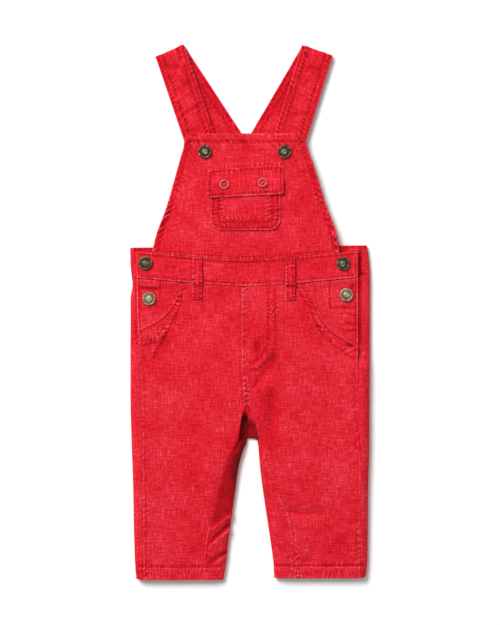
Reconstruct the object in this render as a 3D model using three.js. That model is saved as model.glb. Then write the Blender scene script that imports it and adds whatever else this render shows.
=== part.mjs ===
// An infant's bib overalls in red cotton, laid flat on a surface with the front up.
// Millimetres. X runs to the wearer's left, Y towards the shoulders, Z up out of the surface.
// Every panel is a wall of cloth that follows two height fields, the top and the underside of the
// laid garment, so neighbouring panels meet edge to edge at their seams.
import * as THREE from 'three';

// Cloth and gaps
const CLOTH = 1.3;            // one layer of the body cloth
const DOUBLE = 2.0;           // straps and the back waistband, folded and sewn
const BAND = 2.2;             // front waistband and bib, faced
const PATCH = 1.5;            // pocket, flap and belt loops
const GAP = 0.35;             // clearance where one piece lies on another
const SEAM = 0.2;             // half of the clearance where two edges meet

// Heights of the laid garment
const EDGE_HEIGHT = 4.4;      // where the side folds are widest
const OUTER_ROLL = 8;         // width of the rounding at the outer sides
const UNDER_ROLL = 6;         // the same on the underside
const WEB_HEIGHT = 4.2;       // the back's crotch where it shows between the legs
const BAND_RISE = 0.8;        // front waistband above the leg panels
const FACING_DROP = 1.65;     // hip facings below the slash pocket edges
const OPENING_DROP = 0.54;    // share of its height that the back loses at the side openings
const HEM_RISE = 0.6;
const HEM_DEPTH = 12.5;

// Plan of the waist
const WAIST_CENTRE = -4.9;
const WAIST_HALF = 114;
const WAIST_SAG = 8.8;
const BAND_TOP = 53.6;        // lowest point of the front waistband's upper edge
const BAND_DEPTH = 27.2;
const BACK_TOP = 67.4;
const BACK_SEAM = 34.1;
const BACK_TILT = 0.02;

// Plan of the crotch
const CROTCH_Y = -93.7;
const CROTCH_X = -2.8;
const FORK_Y = -130;
const FORK_X = -1.3;
const FORK_ROUND = 3.5;       // how far down the corner of the fork reaches
const FORK_CLEARANCE = 0.6;   // more room at the inseams where they dive into the fork

// Height of the cloth along the garment
const CROWN = [
  { y: 70, z: 10.2 },
  { y: 30, z: 11.2 },
  { y: -20, z: 11.6 },
  { y: -80, z: 12.4 },
  { y: -150, z: 12.6 },
  { y: -210, z: 11.4 },
  { y: -255, z: 9.8 },
  { y: -276, z: 9.0 },
];

// The two sides differ, because the garment was laid out by hand.
// outer: silhouette. seam: side seam on the front. inner: silhouette of the leg's inside.
// inseam: where the front panel ends on the inside. slash: edge of the slash pocket.
const SIDES = {
  right: {
    sign: -1,
    innerRoll: 19,
    hem: -275.2,
    outer: [
      { y: 70, x: -122.8 }, { y: 50, x: -122.4 }, { y: 30, x: -120.6 }, { y: 14, x: -122.8 },
      { y: -80, x: -122.8 }, { y: -142, x: -121.5 }, { y: -194, x: -119.7 }, { y: -250, x: -118.5 },
      { y: -276, x: -117 },
    ],
    seam: [
      { y: 70, x: -116.2 }, { y: 30, x: -116.2 }, { y: -38, x: -114 }, { y: -91, x: -111 },
      { y: -166, x: -109.8 }, { y: -276, x: -109.2 },
    ],
    inner: [
      { y: -133.5, x: -11.1 }, { y: -161, x: -12.3 }, { y: -190, x: -15.7 }, { y: -231, x: -21.2 },
      { y: -260, x: -24.6 }, { y: -276, x: -27 },
    ],
    inseam: [
      { y: -93.7, x: -2.9 }, { y: -101, x: -6.2 }, { y: -111, x: -9 }, { y: -127, x: -10.4 },
      { y: -135, x: -13.2 }, { y: -152, x: -22.4 }, { y: -178, x: -33.2 }, { y: -204, x: -38.9 },
      { y: -240, x: -46.1 }, { y: -276, x: -49 },
    ],
    slash: [
      { y: 36, x: -63.5 }, { y: 17, x: -74.7 }, { y: 2.5, x: -83.2 }, { y: -6.5, x: -92.6 },
      { y: -13.8, x: -104.8 }, { y: -18.5, x: -114.6 },
    ],
  },
  left: {
    sign: 1,
    innerRoll: 12,
    hem: -273.3,
    outer: [
      { y: 70, x: 120.1 }, { y: 54, x: 122.3 }, { y: 30, x: 123.8 }, { y: -80, x: 123.4 },
      { y: -142, x: 122.9 }, { y: -194, x: 121.8 }, { y: -250, x: 121.2 }, { y: -276, x: 119 },
    ],
    seam: [
      { y: 70, x: 111 }, { y: 30, x: 111.4 }, { y: -34, x: 111.3 }, { y: -91, x: 111 },
      { y: -163, x: 114.2 }, { y: -214, x: 113.1 }, { y: -276, x: 114 },
    ],
    inner: [
      { y: -133.5, x: 8.5 }, { y: -161, x: 10.7 }, { y: -194, x: 15.1 }, { y: -227, x: 20.1 },
      { y: -260, x: 24.4 }, { y: -276, x: 25.2 },
    ],
    inseam: [
      { y: -93.7, x: -2.7 }, { y: -101, x: 2 }, { y: -111, x: 5.4 }, { y: -127, x: 8 },
      { y: -135, x: 10.6 }, { y: -152, x: 17.5 }, { y: -176, x: 26.7 }, { y: -195, x: 34.2 },
      { y: -206, x: 40.1 }, { y: -234, x: 45.2 }, { y: -276, x: 44.5 },
    ],
    slash: [
      { y: 36, x: 51 }, { y: 9.7, x: 67.2 }, { y: -7.4, x: 75.9 }, { y: -18, x: 84.4 },
      { y: -27, x: 97.6 }, { y: -35.5, x: 111 },
    ],
  },
};

// The largest folds: soft troughs, or ridges where the depth is negative
const FOLDS = [
  { fromX: 31, fromY: -82, toX: 14, toY: -140, width: 9, depth: 1.7 },
  { fromX: 36, fromY: -205, toX: 78, toY: -207, width: 6, depth: 1.3 },
  { fromX: 22, fromY: -52, toX: 4, toY: -80, width: 7, depth: 1.3 },
  { fromX: -92, fromY: -28, toX: -104, toY: -56, width: 7, depth: 1.2 },
  { fromX: -33, fromY: -150, toX: -44, toY: -205, width: 9, depth: -0.9 },
  { fromX: -20, fromY: -212, toX: -40, toY: -232, width: 5, depth: 1.3 },
  { fromX: -24, fromY: -226, toX: -43, toY: -248, width: 5, depth: 1.4 },
  { fromX: -27, fromY: -244, toX: -44, toY: -259, width: 5, depth: 1.2 },
  { fromX: 48, fromY: -252, toX: 66, toY: -256, width: 6, depth: 1.1 },
  { fromX: 70, fromY: -60, toX: 90, toY: -150, width: 20, depth: 0.8 },
  { fromX: -80, fromY: -70, toX: -75, toY: -150, width: 20, depth: 0.7 },
];

// The bib's outline and height
const BIB = [
  { y: 183.4, min: -58, max: 50, z: 9.3 },
  { y: 182.2, min: -63.5, max: 54.8, z: 9.3 },
  { y: 178, min: -66.8, max: 57.6, z: 9.4 },
  { y: 170, min: -67.9, max: 59, z: 9.5 },
  { y: 156, min: -71.8, max: 64, z: 9.9 },
  { y: 115, min: -83.4, max: 77, z: 10.8 },
  { y: 75, min: -96, max: 89.6, z: 11.3 },
  { y: 53, min: -100.5, max: 92.5, z: 11.5 },
];
const BIB_DROOP = 1.3;        // how far the bib's side edges hang

// Patch pocket and flap on the bib, a few degrees off square
const POCKET = { minX: -40.2, maxX: 31.9, bottom: 83.7, top: 129, corner: 12 };
const FLAP = { minX: -43.4, maxX: 35, top: 148.1, bottom: 118.7, tilt: 0.05, corner: 3 };

// Belt loops over the front waistband
const LOOPS = [
  { name: 'belt_loop_right', x: -53.6, top: 56.6, bottom: 12.4 },
  { name: 'belt_loop_left', x: 41.7, top: 56.2, bottom: 11.8 },
];
const LOOP_WIDTH = 9.8;
const LOOP_ARCH = 0.7;

// Shoulder straps: outer and inner corner of the fold at the shoulder, then the two directions
const STRAPS = [
  {
    name: 'strap_right', outer: [-96.6, 259.6], inner: [-67.7, 275.2],
    back: [0.548, -0.836], front: [0.322, -0.947], raisedBelow: 92,
  },
  {
    name: 'strap_left', outer: [84.8, 261.8], inner: [53, 274.2],
    back: [-0.504, -0.864], front: [-0.295, -0.955], raisedBelow: 205,
  },
];
const STRAP_HEIGHT = 6.6;
const STRAP_RAISE = DOUBLE + GAP;
const STRAP_BACK_END = 46;
const STRAP_FRONT_END = 132;

// Tack buttons and ring snaps
const BUTTONS = [
  { name: 'button_bib_right', x: -46.1, y: 164.3, on: 'bib' },
  { name: 'button_bib_left', x: 35.6, y: 164.3, on: 'bib' },
  { name: 'button_waist_right', x: -106.9, y: 50, on: 'band' },
  { name: 'button_waist_left', x: 95.7, y: 49.4, on: 'band' },
  { name: 'button_side_right', x: -103.3, y: 13.6, on: 'facing' },
  { name: 'button_side_left', x: 99.1, y: 17.5, on: 'facing' },
];
const BUTTON_PROFILE = [
  [0, 0], [5.8, 0], [6.8, 0.7], [7, 1.5], [6.6, 2.5], [5.9, 2.8], [5.1, 2.2],
  [3.6, 2.3], [2.8, 3.0], [1.4, 3.5], [0, 3.6],
];
const BUTTON_SIDES = 16;
const SNAPS = [
  { name: 'snap_right', x: -26, y: 130.7 },
  { name: 'snap_left', x: 13.1, y: 132.4 },
];
const SNAP_PROFILE = [[0, 0], [4.5, 0], [4.9, 0.7], [4.4, 1.5], [3.5, 1.5], [3, 0.9], [0, 0.7]];
const SNAP_SIDES = 14;

// Materials
const RED = new THREE.Color(0.78, 0.03, 0.07);
const BRASS = new THREE.Color(0.42, 0.34, 0.2);
const COPPER = new THREE.Color(0.72, 0.42, 0.36);

function cloth() {
  return new THREE.MeshStandardMaterial({ color: RED, roughness: 0.92, metalness: 0 });
}

function metal(color) {
  return new THREE.MeshStandardMaterial({ color, roughness: 0.38, metalness: 1 });
}

// Small maths

const clamp01 = (value) => Math.min(1, Math.max(0, value));
const mix = (a, b, share) => a + (b - a) * share;

function smooth(value) {
  const t = clamp01(value);
  return t * t * (3 - 2 * t);
}

// Quarter of a circle: 0 at the edge, 1 from a whole width inwards
function quarter(share) {
  const rest = 1 - clamp01(share);
  return Math.sqrt(1 - rest * rest);
}

// Evenly spaced values, both ends included
function spread(from, to, steps) {
  return Array.from({ length: steps + 1 }, (_, index) => mix(from, to, index / steps));
}

// Smooth value of one column of a table, whose rows run down in y, without overshoot
function along(table, y, column = 'x') {
  const last = table.length - 1;
  if (y >= table[0].y) return table[0][column];
  if (y <= table[last].y) return table[last][column];
  const at = table.findIndex((row) => row.y <= y) - 1;
  const slope = (index) => {
    if (index < 0 || index >= last) return null;
    const step = table[index + 1].y - table[index].y;
    return (table[index + 1][column] - table[index][column]) / step;
  };
  const tangent = (index) => {
    const before = slope(index - 1) ?? slope(index);
    const after = slope(index) ?? slope(index - 1);
    return before * after <= 0 ? 0 : (2 * before * after) / (before + after);
  };
  const span = table[at + 1].y - table[at].y;
  const t = (y - table[at].y) / span;
  const start = table[at][column];
  const end = table[at + 1][column];
  return (2 * t ** 3 - 3 * t ** 2 + 1) * start + (t ** 3 - 2 * t ** 2 + t) * span * tangent(at)
    + (3 * t ** 2 - 2 * t ** 3) * end + (t ** 3 - t ** 2) * span * tangent(at + 1);
}

// Plan of the garment

// Inside edge of a leg, which starts as the rounded corner of the fork
function innerEdge(side, y) {
  const depth = (FORK_Y - y) / FORK_ROUND;
  if (depth >= 1) return along(side.inner, y);
  const reach = Math.cbrt(1 - (1 - clamp01(depth)) ** 3);
  return mix(FORK_X, side.inner[0].x, reach);
}

const FORK_LINE = ['right', 'left'].flatMap((name) => [
  ...spread(FORK_Y, FORK_Y - FORK_ROUND, 12), ...spread(FORK_Y - FORK_ROUND, -276, 30),
].map((y) => [innerEdge(SIDES[name], y), y]));

function forkDistance(x, y) {
  return Math.min(...FORK_LINE.map((point) => Math.hypot(point[0] - x, point[1] - y)));
}

function outerDistance(x, y) {
  return Math.max(0, Math.min(x - along(SIDES.right.outer, y), along(SIDES.left.outer, y) - x));
}

const waistSag = (x) => WAIST_SAG * (Math.abs(x - WAIST_CENTRE) / WAIST_HALF) ** 1.3;
const backTop = (x) => BACK_TOP + BACK_TILT * 0.5 * x;
const backSeam = (x) => BACK_SEAM + BACK_TILT * x;

// Heights

// Height of the silhouette: low at the fork, where the crotch is a single fold
function edgeHeight(x, y) {
  const outer = outerDistance(x, y);
  const inner = forkDistance(x, y);
  const leg = mix(WEB_HEIGHT / 2, EDGE_HEIGHT, smooth((FORK_Y - y) / 16));
  return mix(EDGE_HEIGHT, leg, outer / (outer + inner + 0.001));
}

function foldRelief(x, y) {
  let relief = 0;
  for (const fold of FOLDS) {
    const runX = fold.toX - fold.fromX;
    const runY = fold.toY - fold.fromY;
    const length = Math.hypot(runX, runY);
    const share = ((x - fold.fromX) * runX + (y - fold.fromY) * runY) / length ** 2;
    const across = ((x - fold.fromX) * runY - (y - fold.fromY) * runX) / length;
    const ends = smooth((share + 0.2) / 0.4) * smooth((1.2 - share) / 0.4);
    relief += fold.depth * ends * Math.exp(-((across / fold.width) ** 2));
  }
  return relief;
}

// Top of the laid cloth
function top(x, y) {
  const roll = mix(SIDES.right.innerRoll, SIDES.left.innerRoll, smooth((x - FORK_X + 8) / 16));
  const rounding = quarter(outerDistance(x, y) / OUTER_ROLL) * quarter(forkDistance(x, y) / roll);
  const edge = edgeHeight(x, y);
  const hem = HEM_RISE * smooth((-276 + HEM_DEPTH + 1 - y) / 1.5);
  return edge + (along(CROWN, y, 'z') + hem - foldRelief(x, y) - edge) * rounding;
}

// The back's share of the top, which dips under the front at the side openings
function backTopSide(side, x, y) {
  const end = side.slash[side.slash.length - 1].y;
  const open = smooth((y - end + 22) / 16);
  const edge = edgeHeight(x, y);
  return edge + (top(x, y) - edge) * (1 - OPENING_DROP * open);
}

// Underside of the laid cloth, flat but for its rounded edges
function under(x, y) {
  const distance = Math.min(outerDistance(x, y), forkDistance(x, y));
  return edgeHeight(x, y) * (1 - quarter(distance / UNDER_ROLL));
}

function bibTop(x, y) {
  const middle = (along(BIB, y, 'min') + along(BIB, y, 'max')) / 2;
  const half = (along(BIB, y, 'max') - along(BIB, y, 'min')) / 2;
  const across = Math.abs(x - middle) / half;
  const sag = 1.1 * smooth((y - 120) / 60) * (1 - smooth(across * 1.6));
  return along(BIB, y, 'z') - BIB_DROOP * across ** 4 * smooth((150 - y) / 40) - sag;
}

const bandTop = (x, y) => top(x, y) + BAND_RISE;
const facingTop = (x, y) => top(x, y) - FACING_DROP;

// Surfaces and walls

// A grid of points, as an open surface with its front to the side of rows × columns
function grid(rows, flip = false) {
  const points = rows.flat();
  const width = rows[0].length;
  const faces = [];
  for (let row = 0; row + 1 < rows.length; row += 1) {
    for (let column = 0; column + 1 < width; column += 1) {
      const a = row * width + column;
      const b = a + width;
      faces.push([a, b, b + 1], [a, b + 1, a + 1]);
    }
  }
  return { points, faces: flip ? faces.map(([a, b, c]) => [a, c, b]) : faces };
}

// Joins surfaces where their points coincide
function join(surfaces) {
  const points = [];
  const faces = [];
  const known = new Map();
  const indexOf = (point) => {
    const key = point.map((value) => Math.round(value * 1000)).join();
    if (!known.has(key)) known.set(key, points.push(point) - 1);
    return known.get(key);
  };
  for (const surface of surfaces) {
    const map = surface.points.map(indexOf);
    for (const [a, b, c] of surface.faces) {
      const face = [map[a], map[b], map[c]];
      if (new Set(face).size === 3) faces.push(face);
    }
  }
  return { points, faces };
}

function vertexNormals({ points, faces }) {
  const normals = points.map(() => new THREE.Vector3());
  const corner = (index) => new THREE.Vector3(...points[index]);
  for (const [a, b, c] of faces) {
    const origin = corner(a);
    const normal = corner(b).sub(origin).cross(corner(c).sub(origin));
    for (const index of [a, b, c]) normals[index].add(normal);
  }
  return normals.map((normal) => normal.normalize());
}

// Closed wall of cloth behind a surface
function wall(surfaces, thickness) {
  const { points, faces } = join(surfaces);
  const normals = vertexNormals({ points, faces });
  const count = points.length;
  const inside = points.map((point, index) => normals[index].clone()
    .multiplyScalar(-thickness).add(new THREE.Vector3(...point)).toArray());
  const edges = new Set(faces.flatMap(([a, b, c]) => [`${a},${b}`, `${b},${c}`, `${c},${a}`]));
  const triangles = [...faces, ...faces.map(([a, b, c]) => [a + count, c + count, b + count])];
  for (const edge of edges) {
    const [a, b] = edge.split(',').map(Number);
    if (!edges.has(`${b},${a}`)) triangles.push([b, a, a + count], [b, a + count, b + count]);
  }
  const geometry = new THREE.BufferGeometry();
  const positions = [...points, ...inside].flat();
  geometry.setAttribute('position', new THREE.Float32BufferAttribute(positions, 3));
  geometry.setIndex(triangles.flat());
  geometry.computeVertexNormals();
  return geometry;
}

// Leg panels

// Rows down a panel, closer at the pocket, the crotch and the hem
function levels(start) {
  return [
    ...spread(start, -16, 8), ...spread(-21, -36, 3), ...spread(-47, CROTCH_Y, 4),
    ...spread(-101, -126, 4), ...spread(FORK_Y, FORK_Y - FORK_ROUND, 3), ...spread(-137, -152, 2),
    ...spread(-164, -260, 9), -263.5, -276,
  ];
}

// Moves a nominal row to the waist seam above and to the hem, which rises at the side, below
function settle(side, x, y, seamLine, start) {
  const hemShare = smooth((-245 - y) / 31);
  const lift = 4 * (1 - quarter(outerDistance(x, y) / 9));
  return y + (seamLine(x) - start) * smooth((y + 40) / (start + 40)) + (side.hem + 276 + lift) * hemShare;
}

const frontSeam = (x) => BAND_TOP - BAND_DEPTH + waistSag(x) - 2 * SEAM;
const FRONT_START = 33;
const FRONT_COLUMNS = 9;

function frontLeg(side) {
  const { sign } = side;
  const pocketEnd = side.slash[side.slash.length - 1].y;
  const centreFront = (y) => mix(-5.4, CROTCH_X, smooth((-50 - y) / 35));
  const rows = levels(FRONT_START).map((level) => {
    const outerX = level > pocketEnd ? along(side.slash, level) : along(side.seam, level) - sign * SEAM;
    const innerX = level > CROTCH_Y ? centreFront(level) : along(side.inseam, level);
    const clear = SEAM + FORK_CLEARANCE * smooth((level + 165) / 15) * smooth((-110 - level) / 12);
    return spread(0, 1, FRONT_COLUMNS).map((share) => {
      const x = mix(outerX, innerX + sign * clear, 1 - (1 - share) ** 1.4);
      const y = settle(side, x, level, frontSeam, FRONT_START);
      return [x, y, top(x, y)];
    });
  });
  return wall([grid(rows, sign > 0)], CLOTH);
}

const BACK_START = 34;
const BACK_LEVELS = levels(BACK_START);

// From the side seam on the front, round the side and across the underside
function backWrap(side) {
  const { sign } = side;
  const end = side.slash[side.slash.length - 1].y;
  return BACK_LEVELS.map((level) => {
    const edge = along(side.outer, level);
    const seam = along(side.seam, level) + sign * mix(SEAM, -6, smooth((level - end + 6) / 6));
    const innerX = level > FORK_Y ? FORK_X + sign * SEAM : innerEdge(side, level) + forkSeam(side, level);
    const flatX = innerX + sign * UNDER_ROLL;
    const point = (x, height) => {
      const y = settle(side, x, level, backSeam, BACK_START);
      return [x, y, height(x, y)];
    };
    const overTop = (x, y) => backTopSide(side, x, y);
    const round = (share) => edge - sign * (1 - Math.sin(share * Math.PI / 2));
    return [
      ...spread(0, 1, 5).slice(0, 5).map((share) => point(mix(seam, edge, Math.sin(share * Math.PI / 2)), overTop)),
      point(edge, edgeHeight),
      ...[0.78, 0.45, 0].map((share) => point(edge + (round(share) - edge) * UNDER_ROLL, under)),
      ...spread(0.3, 0.7, 1).map((share) => point(mix(edge, innerX, share), under)),
      ...[0, 0.45, 0.78].map((share) => point(mix(flatX, innerX, Math.sin(share * Math.PI / 2)), under)),
      point(innerX, level > FORK_Y ? under : edgeHeight),
    ];
  });
}

// The halves of the fork meet at the centre back with a seam's clearance
function forkSeam(side, level) {
  return side.sign * SEAM * (1 - smooth((FORK_Y - level) / FORK_ROUND));
}

// From the inseam on the front, over the leg's inside, or across the crotch above the fork
function backInside(side) {
  const { sign } = side;
  const columns = 4;
  return BACK_LEVELS.filter((level) => level <= CROTCH_Y + 0.01).map((level) => {
    const tucked = smooth((level + 150) / 14);
    const startX = along(side.inseam, level) - sign * mix(SEAM, -1.5, tucked);
    const below = smooth((FORK_Y - level) / FORK_ROUND);
    const centre = mix(CROTCH_X, FORK_X, smooth((CROTCH_Y - level) / 20)) + sign * SEAM;
    const endX = level <= FORK_Y ? innerEdge(side, level) + forkSeam(side, level) : centre;
    const sink = smooth((CROTCH_Y - level) / 16) * (1 - below);
    return spread(0, 1, columns).map((share) => {
      if (level > CROTCH_Y - 0.01) {
        return [centre, level, top(centre, level) - CLOTH - GAP - 0.2];
      }
      const x = mix(startX, endX, mix(share, Math.sin(share * Math.PI / 2), below));
      const y = settle(side, x, level, backSeam, BACK_START);
      if (level <= FORK_Y && share === 1) return [x, y, edgeHeight(x, y)];
      const brink = top(x, y) - (CLOTH + GAP + 0.2) * tucked;
      const web = WEB_HEIGHT / 2 * (1 + quarter(forkDistance(x, y) / 3));
      return [x, y, mix(brink, web, sink * (1 - (1 - share) ** 3))];
    });
  });
}

function backLeg(side) {
  const flip = side.sign > 0;
  return wall([grid(backWrap(side), !flip), grid(backInside(side), flip)], CLOTH);
}

// Piece on each hip that shows inside the slash pocket and carries the side button
function hipFacing(side) {
  const { sign } = side;
  const end = side.slash[side.slash.length - 1].y;
  const rows = [...spread(FRONT_START, 3, 4), ...spread(-4, end - 2, 4)].map((level) => {
    const outerX = along(side.seam, level) - sign * SEAM;
    const innerX = along(side.slash, Math.max(level, end)) - sign * 5;
    return spread(0, 1, 6).map((share) => {
      const x = mix(outerX, innerX, share);
      const y = settle(side, x, level, frontSeam, FRONT_START);
      return [x, y, facingTop(x, y)];
    });
  });
  return wall([grid(rows, sign > 0)], CLOTH);
}

// Waistbands

function waistbandFront() {
  const from = SIDES.right.seam[0].x;
  const to = SIDES.left.seam[0].x;
  const rows = spread(0, BAND_DEPTH, 4).map((drop) => spread(from, to, 26).map((x) => {
    const y = BAND_TOP + waistSag(x) - drop;
    return [x, y, bandTop(x, y)];
  }));
  return wall([grid(rows)], BAND);
}

// From under the front's one end, round the back, to under its other end
function waistbandBack() {
  const endUnder = 14;
  const rows = spread(0, 1, 4).map((share) => {
    const level = mix(BACK_TOP, BACK_SEAM, share);
    const overTop = (x, y) => {
      const edge = edgeHeight(x, y);
      return edge + (top(x, y) - edge) * (1 - OPENING_DROP);
    };
    const point = (x, height) => {
      const y = mix(backTop(x), backSeam(x) + 2 * SEAM, share);
      return [x, y, height(x, y)];
    };
    const half = (side) => {
      const edge = along(side.outer, level);
      const start = along(side.seam, level) - side.sign * endUnder;
      const underX = (angle) => edge - side.sign * UNDER_ROLL * (1 - Math.sin(angle));
      return [
        ...spread(0, 1, 6).slice(0, 6).map((part) => point(mix(start, edge, Math.sin(part * Math.PI / 2)), overTop)),
        point(edge, edgeHeight),
        ...[1.1, 0.7, 0].map((angle) => point(underX(angle), under)),
      ];
    };
    return [...half(SIDES.right), ...half(SIDES.left).reverse()];
  });
  return wall([grid(rows, true)], DOUBLE);
}

// Bib, pocket and flap

function bib() {
  const levelList = [183.4, 182.2, 178, 170, ...spread(160, 53.6, 8)];
  const rows = levelList.map((level) => {
    const from = along(BIB, level, 'min');
    const to = along(BIB, level, 'max');
    return spread(from, to, 10).map((x) => {
      const y = level + (waistSag(x) + 2 * SEAM) * smooth((110 - level) / 56.4);
      const blend = smooth((90 - y) / 40);
      return [x, y, mix(bibTop(x, level), bandTop(x, y), blend)];
    });
  });
  return wall([grid(rows)], BAND);
}

// Half width of a patch whose lower corners are rounded, at a height above its bottom edge
function cornered(half, corner, height) {
  const rest = Math.max(0, corner - height);
  return half - corner + Math.sqrt(corner * corner - rest * rest);
}

function bibPocket() {
  const middle = (POCKET.minX + POCKET.maxX) / 2;
  const half = (POCKET.maxX - POCKET.minX) / 2;
  const heights = [0.15, 1.2, 3.5, 7, 12, 22, 34, POCKET.top - POCKET.bottom];
  const rows = heights.reverse().map((height) => {
    const reach = cornered(half, POCKET.corner, height);
    const y = POCKET.bottom + height;
    return spread(-reach, reach, 8).map((offset) => {
      const x = middle + offset;
      return [x, y, bibTop(x, y) + GAP + PATCH];
    });
  });
  return wall([grid(rows)], PATCH);
}

function flapTop(x, y) {
  return bibTop(x, y) + GAP + PATCH + (GAP + PATCH + 0.2) * smooth((POCKET.top + 9 - y) / 7);
}

function pocketFlap() {
  const middle = (FLAP.minX + FLAP.maxX) / 2;
  const half = (FLAP.maxX - FLAP.minX) / 2;
  const drop = FLAP.top - FLAP.bottom;
  const rows = [drop, 26, 21, 16, 11, 6, 2.5, 0.7, 0.1].map((height) => {
    const reach = cornered(half, FLAP.corner, height);
    return spread(-reach, reach, 8).map((offset) => {
      const x = middle + offset;
      const y = FLAP.bottom + height + FLAP.tilt * offset;
      return [x, y, flapTop(x, y)];
    });
  });
  return wall([grid(rows)], PATCH);
}

// A belt loop lies on the front waistband and steps down to the leg panel below it
function beltLoop({ x: middle, top: from, bottom: to }) {
  const rows = spread(from, to, 14).map((y, index) => {
    const onBand = smooth((y - (BAND_TOP - BAND_DEPTH + waistSag(middle) - 5)) / 4);
    const arch = LOOP_ARCH * Math.sin(Math.PI * index / 14);
    return spread(-LOOP_WIDTH / 2, LOOP_WIDTH / 2, 3).map((offset) => {
      const x = middle + offset;
      return [x, y, top(x, y) + BAND_RISE * onBand + arch + GAP + PATCH];
    });
  });
  return wall([grid(rows)], PATCH);
}

// Shoulder straps

// One ribbon: up the back along the surface, over the fold at the shoulder, down under the bib
function strap({ outer, inner, back, front, raisedBelow }) {
  const radius = STRAP_HEIGHT / 2;
  const foldX = inner[0] - outer[0];
  const foldY = inner[1] - outer[1];
  const foldLength = Math.hypot(foldX, foldY);
  const away = foldX > 0 ? [-foldY / foldLength, foldX / foldLength]
    : [foldY / foldLength, -foldX / foldLength];
  const across = spread(0, 1, 4);
  const base = (share, out) => [
    mix(outer[0], inner[0], share) - away[0] * (radius - out),
    mix(outer[1], inner[1], share) - away[1] * (radius - out),
  ];
  const run = (direction, end) => (base(0.5, 0)[1] - end) / -direction[1];
  const backRows = spread(run(back, STRAP_BACK_END), 0, 20).map((distance) => across.map((share) => {
    const [startX, startY] = base(share, 0);
    const y = startY + back[1] * distance;
    const raised = Math.max(smooth((raisedBelow - y) / 18), smooth((88 - y) / 16));
    return [startX + back[0] * distance, y, STRAP_RAISE * raised];
  }));
  const foldRows = spread(0, Math.PI, 6).slice(1, 6).map((angle) => across.map((share) => {
    const [x, y] = base(share, radius * Math.sin(angle));
    return [x, y, radius * (1 - Math.cos(angle))];
  }));
  const frontRows = spread(0, run(front, STRAP_FRONT_END), 12).map((distance) => across.map((share) => {
    const [startX, startY] = base(share, 0);
    const x = startX + front[0] * distance;
    const y = startY + front[1] * distance;
    const below = bibTop(x, Math.min(y, 183)) - BAND - GAP;
    return [x, y, mix(STRAP_HEIGHT, below, smooth((205 - y) / 18))];
  }));
  return wall([grid([...backRows, ...foldRows, ...frontRows], foldX < 0)], DOUBLE);
}

// Buttons and snaps

// Turned piece that stands square on a curved cloth, just clear of it
function seated(profile, sides, reach, surface, { x, y }) {
  const geometry = new THREE.LatheGeometry(profile.map(([r, z]) => new THREE.Vector2(r, z)), sides);
  geometry.rotateX(Math.PI / 2);
  const step = 2;
  const slopeX = (surface(x + step, y) - surface(x - step, y)) / (2 * step);
  const slopeY = (surface(x, y + step) - surface(x, y - step)) / (2 * step);
  const normal = new THREE.Vector3(-slopeX, -slopeY, 1).normalize();
  const foot = new THREE.Vector3(x, y, surface(x, y));
  let clearance = 0;
  for (const angle of spread(0, Math.PI * 2, 24)) {
    for (const radius of [reach / 2, reach]) {
      const px = x + radius * Math.cos(angle);
      const py = y + radius * Math.sin(angle);
      const above = new THREE.Vector3(px, py, surface(px, py)).sub(foot).dot(normal);
      clearance = Math.max(clearance, above);
    }
  }
  foot.addScaledVector(normal, clearance + GAP);
  return { geometry, position: foot, normal };
}

function addSeated(group, name, color, { geometry, position, normal }) {
  const mesh = new THREE.Mesh(geometry, metal(color));
  mesh.name = name;
  mesh.position.copy(position);
  mesh.quaternion.setFromUnitVectors(new THREE.Vector3(0, 0, 1), normal);
  group.add(mesh);
}

function addCloth(group, name, geometry) {
  const mesh = new THREE.Mesh(geometry, cloth());
  mesh.name = name;
  group.add(mesh);
}

// The garment

const overalls = new THREE.Group();
for (const [name, side] of Object.entries(SIDES)) {
  addCloth(overalls, `leg_front_${name}`, frontLeg(side));
  addCloth(overalls, `leg_back_${name}`, backLeg(side));
  addCloth(overalls, `hip_facing_${name}`, hipFacing(side));
}
addCloth(overalls, 'waistband_front', waistbandFront());
addCloth(overalls, 'waistband_back', waistbandBack());
addCloth(overalls, 'bib', bib());
addCloth(overalls, 'bib_pocket', bibPocket());
addCloth(overalls, 'bib_pocket_flap', pocketFlap());
for (const loop of LOOPS) addCloth(overalls, loop.name, beltLoop(loop));
for (const shoulder of STRAPS) addCloth(overalls, shoulder.name, strap(shoulder));
const CARRIERS = { bib: bibTop, band: bandTop, facing: facingTop };
for (const button of BUTTONS) {
  addSeated(overalls, button.name, BRASS, seated(BUTTON_PROFILE, BUTTON_SIDES, 7, CARRIERS[button.on], button));
}
for (const snap of SNAPS) {
  addSeated(overalls, snap.name, COPPER, seated(SNAP_PROFILE, SNAP_SIDES, 4.9, flapTop, snap));
}

export default overalls;
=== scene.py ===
# An infant's bib overalls in red slubbed cotton, laid flat with the front up.
# Plan positions are in millimetres: X to the wearer's left, Y to the shoulders, Z up.
from functools import partial
import bpy
import numpy as np
from mathutils import Matrix, Vector


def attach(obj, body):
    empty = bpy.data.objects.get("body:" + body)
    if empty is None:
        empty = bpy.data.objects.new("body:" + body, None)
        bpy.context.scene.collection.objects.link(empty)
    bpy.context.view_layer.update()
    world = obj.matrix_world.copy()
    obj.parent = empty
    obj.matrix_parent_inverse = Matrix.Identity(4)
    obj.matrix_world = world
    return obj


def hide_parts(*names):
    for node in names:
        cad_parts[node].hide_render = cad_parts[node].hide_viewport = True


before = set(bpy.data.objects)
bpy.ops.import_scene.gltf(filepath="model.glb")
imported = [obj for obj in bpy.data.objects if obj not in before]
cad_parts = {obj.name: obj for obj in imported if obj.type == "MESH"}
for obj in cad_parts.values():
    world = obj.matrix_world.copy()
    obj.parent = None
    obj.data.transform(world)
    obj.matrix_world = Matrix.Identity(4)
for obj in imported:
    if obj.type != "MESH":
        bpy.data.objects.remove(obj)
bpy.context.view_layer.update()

MM = 0.001

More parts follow.
